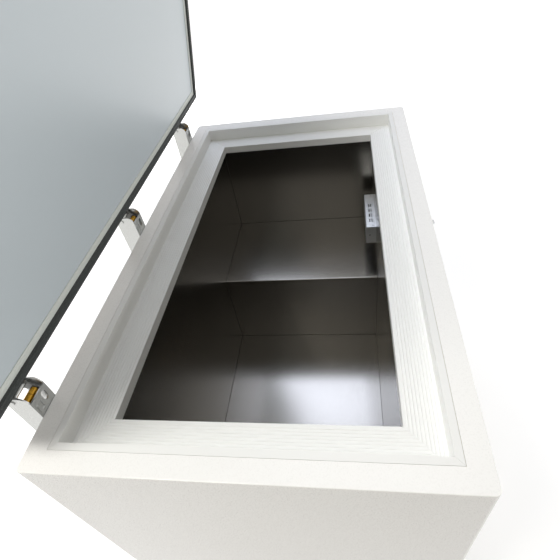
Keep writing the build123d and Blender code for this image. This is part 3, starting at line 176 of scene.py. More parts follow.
def vary_colour(tree, shader, noise, low, high):
    """Let a noise move the colour between two sRGB hex values."""
    ramp = add_node(tree, "ShaderNodeValToRGB", [("Fac", noise.outputs["Fac"])])
    ramp.color_ramp.elements[0].position = 0.3
    ramp.color_ramp.elements[0].color = linear(low)
    ramp.color_ramp.elements[1].position = 0.7
    ramp.color_ramp.elements[1].color = linear(high)
    tree.links.new(ramp.outputs["Color"], shader.inputs["Base Color"])


def large_noise(tree, scale, stretch=(1, 1, 1), detail=2.0):
    """A slow change over a big surface, on Object coordinates, 1 / scale metres across."""
    place = add_node(tree, "ShaderNodeTexCoord")
    mapping = add_node(tree, "ShaderNodeMapping", [("Vector", place.outputs["Object"])], Scale=stretch)
    return add_node(tree, "ShaderNodeTexNoise", [("Vector", mapping.outputs["Vector"])],
                    Scale=scale, Detail=detail, Roughness=0.5)


# Materials. A pattern that is too fine to show at its real size is drawn coarser, as each one says

def powder_coat(colour):
    """White powder coat on sheet steel: glossy, with a faint orange peel of about 2 mm."""
    material, tree, shader = new_material("white_powder_coat", colour, 0.28,
                                          Coat_Weight=0.25, Coat_Roughness=0.12)
    noise = speckle(tree, shader, 480.0, 0.05, 0.0002)
    vary(tree, shader, noise, "Roughness", 0.24, 0.34)
    return material


def galvanised_sheet():
    """Hot-dip galvanised sheet: grey zinc with spangle of 8 to 15 mm."""
    material, tree, shader = new_material("galvanised_sheet", "#9EA1A2", 0.45, 1.0)
    place = add_node(tree, "ShaderNodeTexCoord")
    spangle = add_node(tree, "ShaderNodeTexVoronoi", [("Vector", place.outputs["Object"])], Scale=90.0)
    ramp = add_node(tree, "ShaderNodeValToRGB", [("Fac", spangle.outputs["Color"])])
    ramp.color_ramp.elements[0].color = linear("#85898B")
    ramp.color_ramp.elements[1].color = linear("#B9BCBD")
    tree.links.new(ramp.outputs["Color"], shader.inputs["Base Color"])
    return material


def brushed_liner(colour):
    """Cold-rolled stainless steel: dark, with soft reflections. Its rolling marks are drawn 10 by 2 mm."""
    material, tree, shader = new_material("cold_rolled_stainless_liner", colour, 0.22, 1.0)
    noise = speckle(tree, shader, 500.0, 0.012, 0.0001, stretch=(0.2, 1, 1))
    vary(tree, shader, noise, "Roughness", 0.2, 0.25)
    return material


def bright_stainless():
    """Folded 2B stainless sheet: lighter and duller than the liner. Its marks are drawn 20 by 2 mm."""
    material, tree, shader = new_material("folded_stainless", "#E2E4E5", 0.42, 1.0)
    noise = speckle(tree, shader, 500.0, 0.02, 0.0002, stretch=(0.1, 1, 1))
    vary(tree, shader, noise, "Roughness", 0.38, 0.48)
    return material


def extruded_pvc(name, colour, roughness):
    """Satin extruded PVC: even colour. Its faint grain is drawn about 3 mm across."""
    material, tree, shader = new_material(name, colour, roughness)
    speckle(tree, shader, 350.0, 0.02, 0.0002)
    return material


def lid_sheet(colour):
    """Glossy coated steel inner sheet: blurred reflections, with slow waves of about half a metre."""
    material, tree, shader = new_material("coated_inner_sheet", colour, 0.34,
                                          Coat_Weight=0.2, Coat_Roughness=0.25)
    wave = large_noise(tree, 2.2, stretch=(1, 1, 0.4))
    bump = add_node(tree, "ShaderNodeBump", [("Height", wave.outputs["Fac"])], Strength=0.25, Distance=0.01)
    tree.links.new(bump.outputs["Normal"], shader.inputs["Normal"])
    return material


def seal_rubber(name, colour):
    """Soft black extruded seal: matt, with a light dust in spots of about 2 mm."""
    material, tree, shader = new_material(name, colour, 0.55)
    noise = speckle(tree, shader, 600.0, 0.15, 0.0004)
    vary_colour(tree, shader, noise, colour, "#3A3D3C")
    return material


def zinc_plate():
    """Bright zinc plate on pressed steel: pale, a little uneven over about 3 mm."""
    material, tree, shader = new_material("bright_zinc_plate", "#C3C4C2", 0.3, 1.0)
    noise = speckle(tree, shader, 320.0, 0.1, 0.0004)
    vary(tree, shader, noise, "Roughness", 0.24, 0.42)
    return material


def coated_leaf():
    """Dark grey phosphate-coated steel of the leaves: satin. Its crystals are drawn 2 mm across."""
    material, tree, shader = new_material("phosphated_steel", "#6B6B69", 0.4, 0.85)
    noise = speckle(tree, shader, 500.0, 0.12, 0.0003)
    vary(tree, shader, noise, "Roughness", 0.34, 0.5)
    return material


def bush_bronze():
    """Sintered bronze bush: yellow, oiled. Its pores are drawn 1 mm across."""
    material, tree, shader = new_material("sintered_bronze", "#C9962F", 0.34, 0.9)
    noise = speckle(tree, shader, 900.0, 0.2, 0.0002)
    vary_colour(tree, shader, noise, "#A87A20", "#D8A842")
    return material


def spring_steel():
    """Oil-tempered spring wire: nearly black, with an oily sheen that is uneven over about 1 mm."""
    material, tree, shader = new_material("oil_tempered_spring_steel", "#3C3A38", 0.3, 1.0)
    speckle(tree, shader, 800.0, 0.1, 0.0002)
    return material


def rigid_foam():
    """Rigid polyurethane foam: pale yellow with open cells of about 1 mm."""
    material, tree, shader = new_material("rigid_polyurethane_foam", "#DCCB93", 0.9)
    noise = speckle(tree, shader, 900.0, 0.5, 0.001)
    vary_colour(tree, shader, noise, "#C9B67C", "#E6D9A8")
    return material


def bare_copper():
    """Drawn copper tube: orange-brown, with darker flux stains of about 25 mm."""
    material, tree, shader = new_material("drawn_copper", "#B5704A", 0.32, 1.0)
    noise = large_noise(tree, 40.0, detail=4.0)
    vary_colour(tree, shader, noise, "#8E5233", "#C7835C")
    return material


def moulded_plastic(name, colour, roughness):
    """Moulded ABS, nylon or silicone, and ink on it: satin, with a spark-eroded grain of about 0.6 mm."""
    material, tree, shader = new_material(name, colour, roughness)
    speckle(tree, shader, 1600.0, 0.22, 0.0002)
    return material


def black_enamel(name, colour, roughness):
    """Sprayed black enamel or powder coat: with slight sags of about 5 mm."""
    material, tree, shader = new_material(name, colour, roughness, Coat_Weight=0.4, Coat_Roughness=0.1)
    noise = speckle(tree, shader, 200.0, 0.06, 0.0005)
    vary(tree, shader, noise, "Roughness", roughness - 0.05, roughness + 0.08)
    return material


def mill_aluminium():
    """Mill-finish aluminium fins: light. Their rolling lines are drawn 22 by 1 mm, along Y."""
    material, tree, shader = new_material("mill_aluminium", "#C9CCCE", 0.36, 1.0)
    speckle(tree, shader, 900.0, 0.15, 0.0003, stretch=(1, 0.05, 1))
    return material


def polished_chrome():
    """Polished chrome plate on die-cast zinc: clear reflections, with a faint wave of about 3 mm."""
    material, tree, shader = new_material("polished_chrome", "#D6D7D8", 0.12, 1.0)
    noise = speckle(tree, shader, 300.0, 0.02, 0.0002)
    vary(tree, shader, noise, "Roughness", 0.09, 0.18)
    return material


def smoked_window():
    """Smoked acrylic over a dark display: nearly black and glossy, with a faint wave of about 17 mm."""
    material, tree, shader = new_material("smoked_acrylic", "#0D1114", 0.08,
                                          Coat_Weight=0.6, Coat_Roughness=0.04)
    speckle(tree, shader, 60.0, 0.01, 0.0002)
    return material


def cast_tread():
    """Cast polyurethane tread and hub: matt dark grey, with dust in spots of about 2 mm."""
    material, tree, shader = new_material("cast_polyurethane", "#2B2B2C", 0.6)
    noise = speckle(tree, shader, 500.0, 0.2, 0.0004)
    vary_colour(tree, shader, noise, "#232324", "#3A3A39")
    return material


def painted_corner_shade():
    """Dark beads in the corners of the liner: painted shade in the corners, as stainless steel duller than
    the sheet, rough over 1 mm.
    """
    material, tree, shader = new_material("chamber_corner_painted_shade", "#3A3836", 0.5, 1.0)
    noise = speckle(tree, shader, 900.0, 0.3, 0.0003)
    vary(tree, shader, noise, "Roughness", 0.42, 0.6)
    return material


def lit_segments():
    """Lit bars of a display: pale blue with a weak glow."""
    return new_material("lit_display", "#B8E8FF", 0.4,
                        Emission_Color=linear("#9FDCFF"), Emission_Strength=0.8)[0]


def dress(material, *nodes):
    """Give CAD nodes a material in place of their plain one."""
    for node in nodes:
        piece = NODES[node]
        piece.data.materials.clear()
        piece.data.materials.append(material)


# Modelling helpers

def deselect():
    """Go back to object mode with nothing selected."""
    if bpy.context.mode != "OBJECT":
        bpy.ops.object.mode_set(mode="OBJECT")
    bpy.ops.object.select_all(action="DESELECT")


def activate(*pieces):
    """Select these pieces alone, with the first one active."""
    deselect()
    for piece in pieces:
        piece.select_set(True)
    bpy.context.view_layer.objects.active = pieces[0]


def pick_all():
    """Go to edit mode with everything selected."""
    bpy.ops.object.mode_set(mode="EDIT")
    bpy.ops.mesh.select_all(action="SELECT")


def pick(test):
    """In edit mode, select the faces whose middle and normal pass a test."""
    bpy.ops.object.mode_set(mode="EDIT")
    bpy.ops.mesh.select_mode(type="FACE")
    bpy.ops.mesh.select_all(action="DESELECT")
    mesh = bmesh.from_edit_mesh(bpy.context.object.data)
    for face in mesh.faces:
        face.select_set(test(face.calc_center_median(), face.normal))
    bmesh.update_edit_mesh(bpy.context.object.data)


def add_primitive(add, **values):
    """Add a primitive at its size and place, with its place put into its mesh."""
    deselect()
    add(**values)
    bpy.ops.object.transform_apply(location=True, rotation=True, scale=True)
    return bpy.context.object


def work(piece, kind, **values):
    """Give a piece a modifier and apply it."""
    activate(piece)
    modifier = piece.modifiers.new(kind.title(), kind)
    for key, value in values.items():
        setattr(modifier, key, value)
    bpy.ops.object.modifier_apply(modifier=modifier.name)


def join(*pieces):
    """Make one piece of several."""
    activate(*pieces)
    bpy.ops.object.join()
    return bpy.context.object


def copies(master, places):
    """Join a copy of the master at each place into one piece, and remove the master."""
    made = []
    for place in places:
        copy = master.copy()
        copy.data = master.data.copy()
        copy.data.transform(place)
        bpy.context.collection.objects.link(copy)
        made.append(copy)
    bpy.data.objects.remove(master)
    return join(*made)


def complete(piece, name, material, body):
    """Merge a piece, turn its faces outwards and smooth it. Give it its name, finish and body."""
    activate(piece)
    pick_all()
    bpy.ops.mesh.remove_doubles(threshold=MERGE_DISTANCE)
    bpy.ops.mesh.normals_make_consistent(inside=False)
    bpy.ops.object.mode_set(mode="OBJECT")
    bpy.ops.object.shade_smooth_by_angle(angle=SHARP_ANGLE)
    piece.name = name
    piece.data.name = name
    piece.data.materials.clear()
    piece.data.materials.append(material)
    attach(piece, body)
    deselect()
    return piece


def facing(direction, place, turn):
    """A matrix that sets a piece drawn on +Z onto a face at a place, turned about the face's normal."""
    rotation = Vector(direction).to_track_quat("Z", "Y").to_matrix().to_4x4()
    return Matrix.Translation(place) @ rotation @ Matrix.Rotation(turn, 4, "Z")


def bevel_top(offset, segments):
    """Bevel the edges round the faces that look up."""
    pick(lambda middle, normal: normal.z > 0.9)
    bpy.ops.mesh.bevel(offset=offset, segments=segments)
    deselect()


def pan_head(radius, height):
    """A pan head with a cross recess, drawn on +Z."""
    head = add_primitive(bpy.ops.mesh.primitive_cylinder_add, vertices=32, radius=radius, depth=height,
                         location=(0, 0, height / 2))
    bevel_top(0.4 * height, 3)
    for turn in (0, math.pi / 2):
        cutter = add_primitive(bpy.ops.mesh.primitive_cube_add, size=1, location=(0, 0, height),
                               rotation=(0, 0, turn), scale=(1.1 * radius, 0.2 * radius, height))
        pick(lambda middle, normal: normal.z < -0.9)
        bpy.ops.transform.resize(value=(0.7, 0.7, 1))
        work(head, "BOOLEAN", object=cutter, operation="DIFFERENCE", solver="EXACT")
        bpy.data.objects.remove(cutter)
    return head


def hex_head(flats, height, washer_radius):
    """A hexagon head on a washer, drawn on +Z."""
    washer_height = 0.25 * height
    washer = add_primitive(bpy.ops.mesh.primitive_cylinder_add, vertices=32, radius=washer_radius,
                           depth=washer_height, location=(0, 0, washer_height / 2))
    bevel_top(0.3 * washer_height, 2)
    head = add_primitive(bpy.ops.mesh.primitive_cylinder_add, vertices=6, radius=flats / math.sqrt(3),
                         depth=height, location=(0, 0, washer_height + height / 2))
    bevel_top(0.12 * height, 2)
    return join(head, washer)


# Values that a user would change

class FreezerFinish(bpy.types.PropertyGroup):
    """Colours of the large surfaces, as sRGB hex values"""
    shell_colour: StringProperty(
        name="Case colour", description="sRGB hex colour of the powder coat", default="#F7F6F3")
    liner_colour: StringProperty(
        name="Liner colour", description="sRGB hex colour of the chamber steel", default="#88857F")
    collar_colour: StringProperty(
        name="Collar colour", description="sRGB hex colour of the mouth's profile", default="#EFEFEC")
    border_colour: StringProperty(
        name="Lid border colour", description="sRGB hex colour of the lid's profile", default="#D3D7D2")
    panel_colour: StringProperty(
        name="Lid sheet colour", description="sRGB hex colour of the lid's inner sheet", default="#C3CCD1")


class FreezerSizes(bpy.types.PropertyGroup):
    """Sizes of the small pieces"""
    spring_radius: FloatProperty(
        name="Spring radius", description="From the spring's axis to the middle of its wire",
        default=0.011, unit="LENGTH")
    wire_radius: FloatProperty(
        name="Wire radius", description="Half the thickness of the spring's wire",
        default=0.002, unit="LENGTH")
    screw_radius: FloatProperty(
        name="Screw head radius", description="Pan heads on the hinges and the covers",
        default=0.0042, unit="LENGTH")
    screw_height: FloatProperty(
        name="Screw head height", description="Pan heads on the hinges and the covers",
        default=0.0026, unit="LENGTH")
    bolt_flats: FloatProperty(
        name="Bolt width", description="Across the flats of the caster bolts",
        default=0.010, unit="LENGTH")
    # The beads of this width are dark lines of painted shade in the chamber's corners
    corner_shade_width: FloatProperty(
        name="Seam width", description="Of the welds in the chamber's corners",
        default=0.0016, unit="LENGTH")


class FreezerStage(bpy.types.PropertyGroup):
    """Camera, lamps, world and floor"""
    lens: FloatProperty(
        name="Lens", description="Focal length on a 36 mm wide sensor",
        default=27.46, min=10, max=200, subtype="DISTANCE_CAMERA")
    place: FloatVectorProperty(
        name="Camera place", description="Where the camera stands",
        default=(-0.9406, -0.1958, 1.6415), subtype="XYZ", unit="LENGTH")
    azimuth: FloatProperty(
        name="Azimuth", description="Direction of view, from +X towards +Y",
        default=0.2322, unit="ROTATION", subtype="ANGLE")
    depression: FloatProperty(
        name="Depression", description="How far the view looks down",
        default=0.7510, unit="ROTATION", subtype="ANGLE")
    roll: FloatProperty(
        name="Roll", description="Turn of the camera about its view",
        default=-0.1917, unit="ROTATION", subtype="ANGLE")
    lamp_level: FloatProperty(
        name="Lamp level", description="Factor on the power of all lamps", default=1.0, min=0)
    world_light: FloatProperty(
        name="World light", description="Strength of the even light", default=0.3, min=0)
    floor_glow: FloatProperty(
        name="Floor glow", description="What lifts the seen floor to white near the freezer",
        default=0.45, min=0)


# Operators

class FREEZER_OT_case(bpy.types.Operator):
    """Finish the painted panels, the galvanised sheets, the foam and the base frame"""
    bl_idname = "freezer.case"
    bl_label = "Case"

    def execute(self, context):
        finish = context.scene.freezer_finish
        dress(powder_coat(finish.shell_colour), "case_front", "case_rear", "case_left", "case_right",
              "end_panel", "front_grille", "rear_grille", "lid_shell")
        dress(galvanised_sheet(), "case_bottom", "bay_bulkhead", "machine_deck", "fan_shroud")
        dress(rigid_foam(), "foam_body", "lid_foam")
        dress(black_enamel("black_powder_coat", "#1D1D1F", 0.4), "base_rails", "fan_motor")
        return {"FINISHED"}


class FREEZER_OT_chamber(bpy.types.Operator):
    """Finish the liner, the collar, the sensor with its guard, and the copper tube"""
    bl_idname = "freezer.chamber"
    bl_label = "Chamber"

    def execute(self, context):
        finish = context.scene.freezer_finish
        dress(brushed_liner(finish.liner_colour), "liner")
        dress(extruded_pvc("satin_pvc_collar", finish.collar_colour, 0.42), "rim_collar")
        dress(bright_stainless(), "sensor_guard", "sensor_probe")
        dress(bare_copper(), "evaporator_coil", "refrigerant_lines")
        return {"FINISHED"}


class FREEZER_OT_lid(bpy.types.Operator):
    """Finish the lid's seal, border, inner sheet, handle and lock, and the grey housings"""
    bl_idname = "freezer.lid"
    bl_label = "Lid"

    def execute(self, context):
        finish = context.scene.freezer_finish
        dress(seal_rubber("soft_seal_pvc", "#232625"), "lid_gasket")
        dress(extruded_pvc("satin_pvc_border", finish.border_colour, 0.4), "lid_border")
        dress(lid_sheet(finish.panel_colour), "lid_panel")
        dress(moulded_plastic("grey_abs", "#6E7073", 0.45), "lid_handle", "electrical_box", "control_housing")
        dress(polished_chrome(), "lock_body", "lock_cylinder", "lock_keeper")
        return {"FINISHED"}


class FREEZER_OT_hinges(bpy.types.Operator):
    """Finish the channels, pins, cups, leaves and bushes, and the casters' plates and yokes"""
    bl_idname = "freezer.hinges"
    bl_label = "Hinges"

    def execute(self, context):
        yokes = [name for name in NODES if name.startswith("caster_yoke")]
        dress(zinc_plate(), "hinge_channels", "hinge_pins", "spring_cups", "caster_plates", *yokes)
        dress(coated_leaf(), "hinge_leaves")
        dress(bush_bronze(), "hinge_bushes")
        return {"FINISHED"}


class FREEZER_OT_machine_bay(bpy.types.Operator):
    """Finish the cooling unit, the fittings on the back, the rocker and the casters' wheels"""
    bl_idname = "freezer.machine_bay"
    bl_label = "Machine bay"

    def execute(self, context):
        wheels = [name for name in NODES if name.startswith("caster_wheel")]
        dress(black_enamel("black_enamel", "#0E0E10", 0.25), "compressors")
        dress(seal_rubber("black_rubber", "#161616"), "compressor_grommets", "port_cap")
        dress(mill_aluminium(), "condenser", "fan_wheel")
        dress(seal_rubber("foam_jacket", "#1A1A1A"), "heat_exchanger")
        dress(moulded_plastic("black_nylon", "#141414", 0.5), "cord_gland", "power_rocker")
        dress(cast_tread(), *wheels)
        return {"FINISHED"}


class FREEZER_OT_controls(bpy.types.Operator):
    """Finish the display window and the keys"""
    bl_idname = "freezer.controls"
    bl_label = "Controls"

    def execute(self, context):
        dress(smoked_window(), "display_window")
        dress(moulded_plastic("key_silicone", "#9FA2A4", 0.6), "panel_key_1", "panel_key_2", "panel_key_3")
        return {"FINISHED"}


class FREEZER_OT_springs(bpy.types.Operator):
    """Wind the hinge springs: closed end turns with open turns between them"""
    bl_idname = "freezer.springs"
    bl_label = "Springs"

    def execute(self, context):
        sizes = context.scene.freezer_sizes
        low, high = (Vector(corner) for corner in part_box("hinge_springs"))
        wire = sizes.wire_radius
        wire_sides = 12
        turn_steps = 36
        closed = 2.1 * wire
        open_turns = 10
        pitch = (high.z - low.z - 2 * wire - 2 * closed) / open_turns
        height = low.z + wire
        parts = []
        for rise, turns in ((closed, 1), (pitch, open_turns), (closed, 1)):
            part = add_primitive(bpy.ops.mesh.primitive_circle_add, vertices=wire_sides, radius=wire,
                                 location=(sizes.spring_radius, 0, height), rotation=(math.pi / 2, 0, 0))
            work(part, "SCREW", angle=2 * math.pi, screw_offset=rise, iterations=turns,
                 steps=turn_steps, render_steps=turn_steps)
            height += rise * turns
            parts.append(part)
        spring = join(*parts)
        pick_all()
        bpy.ops.mesh.remove_doubles(threshold=MERGE_DISTANCE)
        bpy.ops.mesh.select_all(action="SELECT")
        bpy.ops.mesh.fill_holes(sides=wire_sides)
        deselect()
        middle_y = (low.y + high.y) / 2
        places = [Matrix.Translation((x, middle_y, 0)) for x in HINGE_X]
        springs = copies(spring, places)
        complete(springs, "wound_hinge_springs", spring_steel(), "cabinet")
        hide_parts("hinge_springs")
        return {"FINISHED"}


class FREEZER_OT_screws(bpy.types.Operator):
    """Set the cross-recessed screws of the hinges and of the machine bay's covers"""
    bl_idname = "freezer.screws"
    bl_label = "Screws"

    def execute(self, context):
        sizes = context.scene.freezer_sizes
        size = sizes.screw_radius, sizes.screw_height
        metal = zinc_plate()
        channel = [facing((0, 1, 0), (x + across, CHANNEL_SCREW_Y, z), turn)
                   for x in HINGE_X for across, z, turn in CHANNEL_SCREWS]
        piece = complete(copies(pan_head(*size), channel), "channel_pan_screws", metal, "cabinet")
        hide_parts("channel_screws")
        swing = Matrix.Translation(PIVOT) @ Matrix.Rotation(-LID_OPEN, 4, "X") @ Matrix.Translation(-PIVOT)
        leaf = [swing @ facing((0, 1, 0), (x + across, LEAF_SCREW_Y, LEAF_SCREW_Z), turn)
                for x in HINGE_X for across, turn in LEAF_SCREWS]
        piece = complete(copies(pan_head(*size), leaf), "leaf_pan_screws", metal, "lid")
        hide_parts("leaf_screws")
        cover = []
        for node, side in (("front_grille", -1), ("rear_grille", 1)):
            low, high = (Vector(corner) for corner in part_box(node))
            for x in (low.x + GRILLE_SCREW_IN_X, high.x - GRILLE_SCREW_IN_X):
                for z in (low.z + GRILLE_SCREW_IN_Z, high.z - GRILLE_SCREW_IN_Z):
                    cover.append(facing((0, side, 0), (x, side * CASE_HALF_Y, z), x + z))
        low, high = (Vector(corner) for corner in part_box("end_panel"))
        for y in (-END_SCREW_Y, END_SCREW_Y):
            for z in (low.z + END_SCREW_IN_Z, high.z - END_SCREW_IN_Z):
                cover.append(facing((1, 0, 0), (CASE_HALF_X, y, z), 3 * y + z))
        complete(copies(pan_head(*size), cover), "cover_screws", metal, "cabinet")
        return {"FINISHED"}


class FREEZER_OT_caster_bolts(bpy.types.Operator):
    """Bolt the caster plates and put nuts on the axles"""
    bl_idname = "freezer.caster_bolts"
    bl_label = "Caster bolts"

    def execute(self, context):
        sizes = context.scene.freezer_sizes
        metal = zinc_plate()
        plate_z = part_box("caster_plates")[0][2]
        corners = [(end, side) for end in (-1, 1) for side in (-1, 1)]
        under = []
        for end, side in corners:
            for i, j in corners:
                place = end * CASTER_X + BOLT_OUT_X * i, side * CASTER_Y + BOLT_OUT_Y * j, plate_z
                under.append(facing((0, 0, -1), place, end + i + 2 * j))
        bolt = hex_head(sizes.bolt_flats, BOLT_HEIGHT, BOLT_WASHER_RADIUS)
        complete(copies(bolt, under), "caster_plate_bolts", metal, "cabinet")
        for end, side in corners:
            name = f"{'front' if side < 0 else 'rear'}_{'left' if end < 0 else 'right'}"
            low, high = (Vector(corner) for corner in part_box(f"caster_wheel_{name}"))
            middle = (low + high) / 2
            ends = [facing((0, way, 0), (middle.x, side * CASTER_Y + way * YOKE_OUT, middle.z), 0.4 * way)
                    for way in (-1, 1)]
            nuts = copies(hex_head(NUT_FLATS, NUT_HEIGHT, NUT_WASHER_RADIUS), ends)
            complete(nuts, f"axle_nuts_{name}", metal, f"swivel_{name}")
        return {"FINISHED"}


class FREEZER_OT_symbols(bpy.types.Operator):
    """Put an arrow up, an arrow down and a ring on the keys, and a reading in the window"""
    bl_idname = "freezer.symbols"
    bl_label = "Symbols"

    def execute(self, context):
        ink = moulded_plastic("printed_ink", "#1C2A3A", 0.5)
        for number, (points, turn) in enumerate(((3, 0.0), (3, math.pi), (32, 0.0)), start=1):
            low, high = (Vector(corner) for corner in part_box(f"panel_key_{number}"))
            place = ((low.x + high.x) / 2, low.y, (low.z + high.z) / 2)
            mark = add_primitive(bpy.ops.mesh.primitive_circle_add, vertices=points, radius=KEY_MARK_RADIUS,
                                 fill_type="NGON", location=place, rotation=(math.pi / 2, turn, 0))
            pick_all()
            if points > 3:
                bpy.ops.mesh.inset(thickness=KEY_RING_WIDTH)
                bpy.ops.mesh.delete(type="FACE")
                bpy.ops.mesh.select_all(action="SELECT")
            bpy.ops.mesh.extrude_region_move(TRANSFORM_OT_translate={"value": (0, -PRINT_DEPTH, 0)})
            complete(mark, f"key_symbol_{number}", ink, f"key_{number}")
        low, high = (Vector(corner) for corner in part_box("display_window"))
        height = DIGIT_SHARE * (high.z - low.z)
        stroke = STROKE_SHARE * height
        half = (height - stroke) / 2
        bar = add_primitive(bpy.ops.mesh.primitive_cube_add, size=1,
                            scale=(half - 0.2 * stroke, PRINT_DEPTH, stroke))
        pick(lambda middle, normal: abs(normal.x) > 0.9)
        bpy.ops.transform.resize(value=(1, 1, 0.3))
        deselect()
        window = Vector(((low.x + high.x) / 2, low.y - PRINT_DEPTH, (low.z + high.z) / 2))
        bars = []
        for place, digit in enumerate(("-", "8", "0")):
            middle = window + Vector(((place - 1) * DIGIT_PITCH * half, 0, 0))
            for across, up, upright in SEGMENTS[digit]:
                shift = Matrix.Translation(middle + Vector((across, 0, up)) * half / 2)
                bars.append(shift @ Matrix.Rotation(math.pi / 2 * upright, 4, "Y"))
        complete(copies(bar, bars), "display_reading", lit_segments(), "cabinet")
        return {"FINISHED"}


class FREEZER_OT_seams(bpy.types.Operator):
    """Lay thin dark beads along the corners of the chamber: painted shade in the corners"""
    bl_idname = "freezer.seams"
    bl_label = "Chamber seams"

    def execute(self, context):
        width = context.scene.freezer_sizes.corner_shade_width
        left, right, rear = -LINER_HALF_X, LINER_HALF_X, LINER_HALF_Y
        runs = []
        for y in (-rear, rear):
            runs += [((left, y, DEEP_Z), (STEP_X, y, DEEP_Z)),
                     ((STEP_X, y, DEEP_Z), (STEP_X, y, SHALLOW_Z)),
                     ((STEP_X, y, SHALLOW_Z), (right, y, SHALLOW_Z)),
                     ((left, y, DEEP_Z), (left, y, COLLAR_FOOT_Z)),
                     ((right, y, SHALLOW_Z), (right, y, COLLAR_FOOT_Z))]
        for x, z in ((left, DEEP_Z), (STEP_X, DEEP_Z), (right, SHALLOW_Z)):
            runs.append(((x, -rear, z), (x, rear, z)))
        beads = []
        for start, end in runs:
            start, end = Vector(start), Vector(end)
            size = [abs(part) + width for part in end - start]
            bead = add_primitive(bpy.ops.mesh.primitive_cube_add, size=1,
                                 location=(start + end) / 2, scale=size)
            pick_all()
            bpy.ops.mesh.bevel(offset=0.3 * width, segments=2)
            beads.append(bead)
        # The dark beads are painted shade where the chamber's walls and floors meet
        complete(join(*beads), "chamber_corner_shade_lines", painted_corner_shade(), "cabinet")
        return {"FINISHED"}


# Name, place, target, size, power and colour of each lamp. The lid shades the rear ledge from the two behind
# it, and the low ones light the lid and the sides without reaching what faces up
LAMPS = (
    ("deep_floor_lamp", (1.5, 0.12, 3.0), (0.5, 0.2, 0.9), (1.15, 0.85), 15.0, "#DCE6FF"),
    ("shallow_floor_lamp", (2.5, 0.6, 3.0), (0.8, 0.15, 0.9), (0.7, 1.0), 7.0, "#DCE6FF"),
    ("rear_ceiling_lamp", (-0.3, 0.8, 3.0), (0.0, 0.0, 0.9), (1.6, 0.3), 11.5, "#FFFFFF"),
    ("near_ceiling_lamp", (-1.2, 0.8, 2.8), (0.0, 0.0, 0.9), (0.8, 0.3), 29.0, "#FFFDF8"),
    ("front_low_lamp", (-0.2, -7.0, 0.85), (0.0, 0.4, 1.2), (2.0, 0.5), 205.0, "#FFFFFF"),
    ("rear_low_lamp", (0.2, 4.2, 0.8), (0.0, 0.0, 0.8), (2.0, 0.8), 34.0, "#FFFFFF"),
    ("far_low_lamp", (4.2, 1.6, 0.7), (0.0, 0.0, 0.5), (1.4, 0.6), 38.0, "#FFFFFF"),
)


def area_lamp(name, place, target, size, power, colour):
    """A rectangular lamp that faces a point."""
    bpy.ops.object.light_add(type="AREA", location=place)
    lamp = bpy.context.object
    lamp.name = name
    lamp.data.energy = power
    lamp.data.shape = "RECTANGLE"
    lamp.data.size, lamp.data.size_y = size
    lamp.data.color = linear(colour)[:3]
    lamp.rotation_euler = (Vector(target) - Vector(place)).to_track_quat("-Z", "Y").to_euler()


def background_rays(tree):
    """1 for rays that show the background: seen straight, in a gloss or through glass."""
    path = add_node(tree, "ShaderNodeLightPath")
    gloss = add_node(tree, "ShaderNodeMath",
                     [(0, path.outputs["Is Camera Ray"]), (1, path.outputs["Is Glossy Ray"])],
                     operation="MAXIMUM")
    seen = add_node(tree, "ShaderNodeMath",
                    [(0, gloss.outputs[0]), (1, path.outputs["Is Transmission Ray"])],
                    operation="MAXIMUM")
    return seen.outputs[0]


def white_floor(near_glow):
    """Plain white floor that keeps its shadows. A glow that only background rays see rises with distance."""
    material, tree, shader = new_material("white_floor", "#F4F4F4", 0.7)
    seen = background_rays(tree)
    place = add_node(tree, "ShaderNodeTexCoord")
    away = add_node(tree, "ShaderNodeVectorMath", [(0, place.outputs["Object"])], operation="LENGTH")
    lift = add_node(tree, "ShaderNodeMapRange", [("Value", away.outputs["Value"])],
                    interpolation_type="SMOOTHSTEP",
                    From_Min=GLOW_START, From_Max=GLOW_END, To_Min=near_glow, To_Max=FAR_GLOW)
    glow = add_node(tree, "ShaderNodeMath", [(0, seen), (1, lift.outputs["Result"])], operation="MULTIPLY")
    white = add_node(tree, "ShaderNodeEmission", [("Strength", glow.outputs[0])])
    both = add_node(tree, "ShaderNodeAddShader", [(0, shader.outputs[0]), (1, white.outputs[0])])
    tree.links.new(both.outputs[0], tree.nodes["Material Output"].inputs["Surface"])
    return material


def even_world(strength):
    """A world of even warm light that background rays see as white."""
    world = bpy.data.worlds.new("even_light")
    world.use_nodes = True
    tree = world.node_tree
    background = tree.nodes["Background"]
    background.inputs["Color"].default_value = linear("#FFFAF0")
    background.inputs["Strength"].default_value = strength
    seen_white = add_node(tree, "ShaderNodeBackground", Strength=1.0, Color=(1, 1, 1, 1))
    seen = background_rays(tree)
    mix = add_node(tree, "ShaderNodeMixShader",
                   [(0, seen), (1, background.outputs[0]), (2, seen_white.outputs[0])])
    tree.links.new(mix.outputs[0], tree.nodes["World Output"].inputs["Surface"])
    return world


def add_camera(stage):
    """A camera at the stage's place that looks along its azimuth and down, turned by its roll."""
    azimuth, depression, roll = stage.azimuth, stage.depression, stage.roll
    ahead = Vector((math.cos(azimuth) * math.cos(depression), math.sin(azimuth) * math.cos(depression),
                    -math.sin(depression)))
    right = ahead.cross(Vector((0, 0, 1))).normalized()
    up = right.cross(ahead)
    across = right * math.cos(roll) + up * math.sin(roll)
    upward = up * math.cos(roll) - right * math.sin(roll)
    bpy.ops.object.camera_add()
    camera = bpy.context.object
    rotation = Matrix((across, upward, -ahead)).transposed()
    camera.matrix_world = Matrix.Translation(stage.place) @ rotation.to_4x4()
    camera.data.lens = stage.lens
    camera.data.sensor_width = 36.0
    camera.data.clip_start = 0.02
    return camera


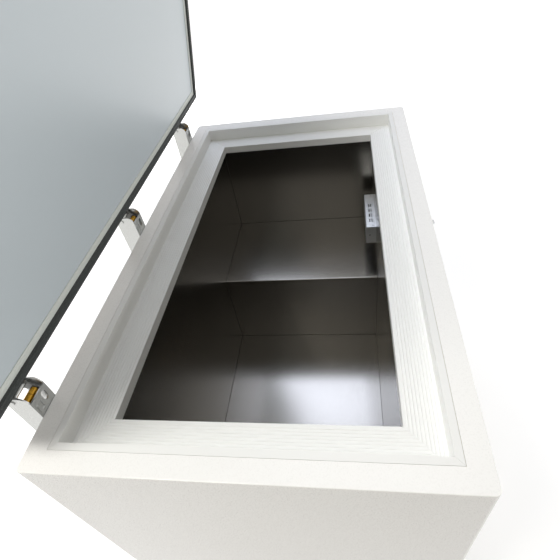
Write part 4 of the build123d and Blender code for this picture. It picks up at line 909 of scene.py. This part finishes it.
class FREEZER_OT_stage(bpy.types.Operator):
    """Set the floor, the lamps, the world and the camera"""
    bl_idname = "freezer.stage"
    bl_label = "Stage"

    def execute(self, context):
        stage = context.scene.freezer_stage
        deselect()
        bpy.ops.mesh.primitive_plane_add(size=FLOOR_SIZE, location=(0, 0, 0))
        floor = context.object
        floor.name = "floor"
        floor.data.materials.append(white_floor(stage.floor_glow))
        for name, place, target, size, power, colour in LAMPS:
            area_lamp(name, place, target, size, power * stage.lamp_level, colour)
        context.scene.world = even_world(stage.world_light)
        context.scene.camera = add_camera(stage)
        context.scene.view_settings.view_transform = "Standard"
        return {"FINISHED"}


OPERATORS = (
    FREEZER_OT_case, FREEZER_OT_chamber, FREEZER_OT_lid, FREEZER_OT_hinges, FREEZER_OT_machine_bay,
    FREEZER_OT_controls, FREEZER_OT_springs, FREEZER_OT_screws, FREEZER_OT_caster_bolts, FREEZER_OT_symbols,
    FREEZER_OT_seams, FREEZER_OT_stage,
)


class FREEZER_PT_sidebar(bpy.types.Panel):
    """Buttons and values for the freezer"""
    bl_idname = "FREEZER_PT_sidebar"
    bl_label = "Chest freezer"
    bl_space_type = "VIEW_3D"
    bl_region_type = "UI"
    bl_category = "Freezer"

    def draw(self, context):
        for group in (context.scene.freezer_finish, context.scene.freezer_sizes, context.scene.freezer_stage):
            for name in group.__annotations__:
                self.layout.prop(group, name)
        for operator in OPERATORS:
            self.layout.operator(operator.bl_idname)


CLASSES = (FreezerFinish, FreezerSizes, FreezerStage, *OPERATORS, FREEZER_PT_sidebar)


def register():
    for item in CLASSES:
        bpy.utils.register_class(item)
    bpy.types.Scene.freezer_finish = PointerProperty(type=FreezerFinish)
    bpy.types.Scene.freezer_sizes = PointerProperty(type=FreezerSizes)
    bpy.types.Scene.freezer_stage = PointerProperty(type=FreezerStage)


def unregister():
    del bpy.types.Scene.freezer_finish
    del bpy.types.Scene.freezer_sizes
    del bpy.types.Scene.freezer_stage
    for item in reversed(CLASSES):
        bpy.utils.unregister_class(item)


def main():
    register()
    bpy.ops.freezer.case()
    bpy.ops.freezer.chamber()
    bpy.ops.freezer.lid()
    bpy.ops.freezer.hinges()
    bpy.ops.freezer.machine_bay()
    bpy.ops.freezer.controls()
    bpy.ops.freezer.springs()
    bpy.ops.freezer.screws()
    bpy.ops.freezer.caster_bolts()
    bpy.ops.freezer.symbols()
    bpy.ops.freezer.seams()
    bpy.ops.freezer.stage()


if __name__ == "__main__":
    main()
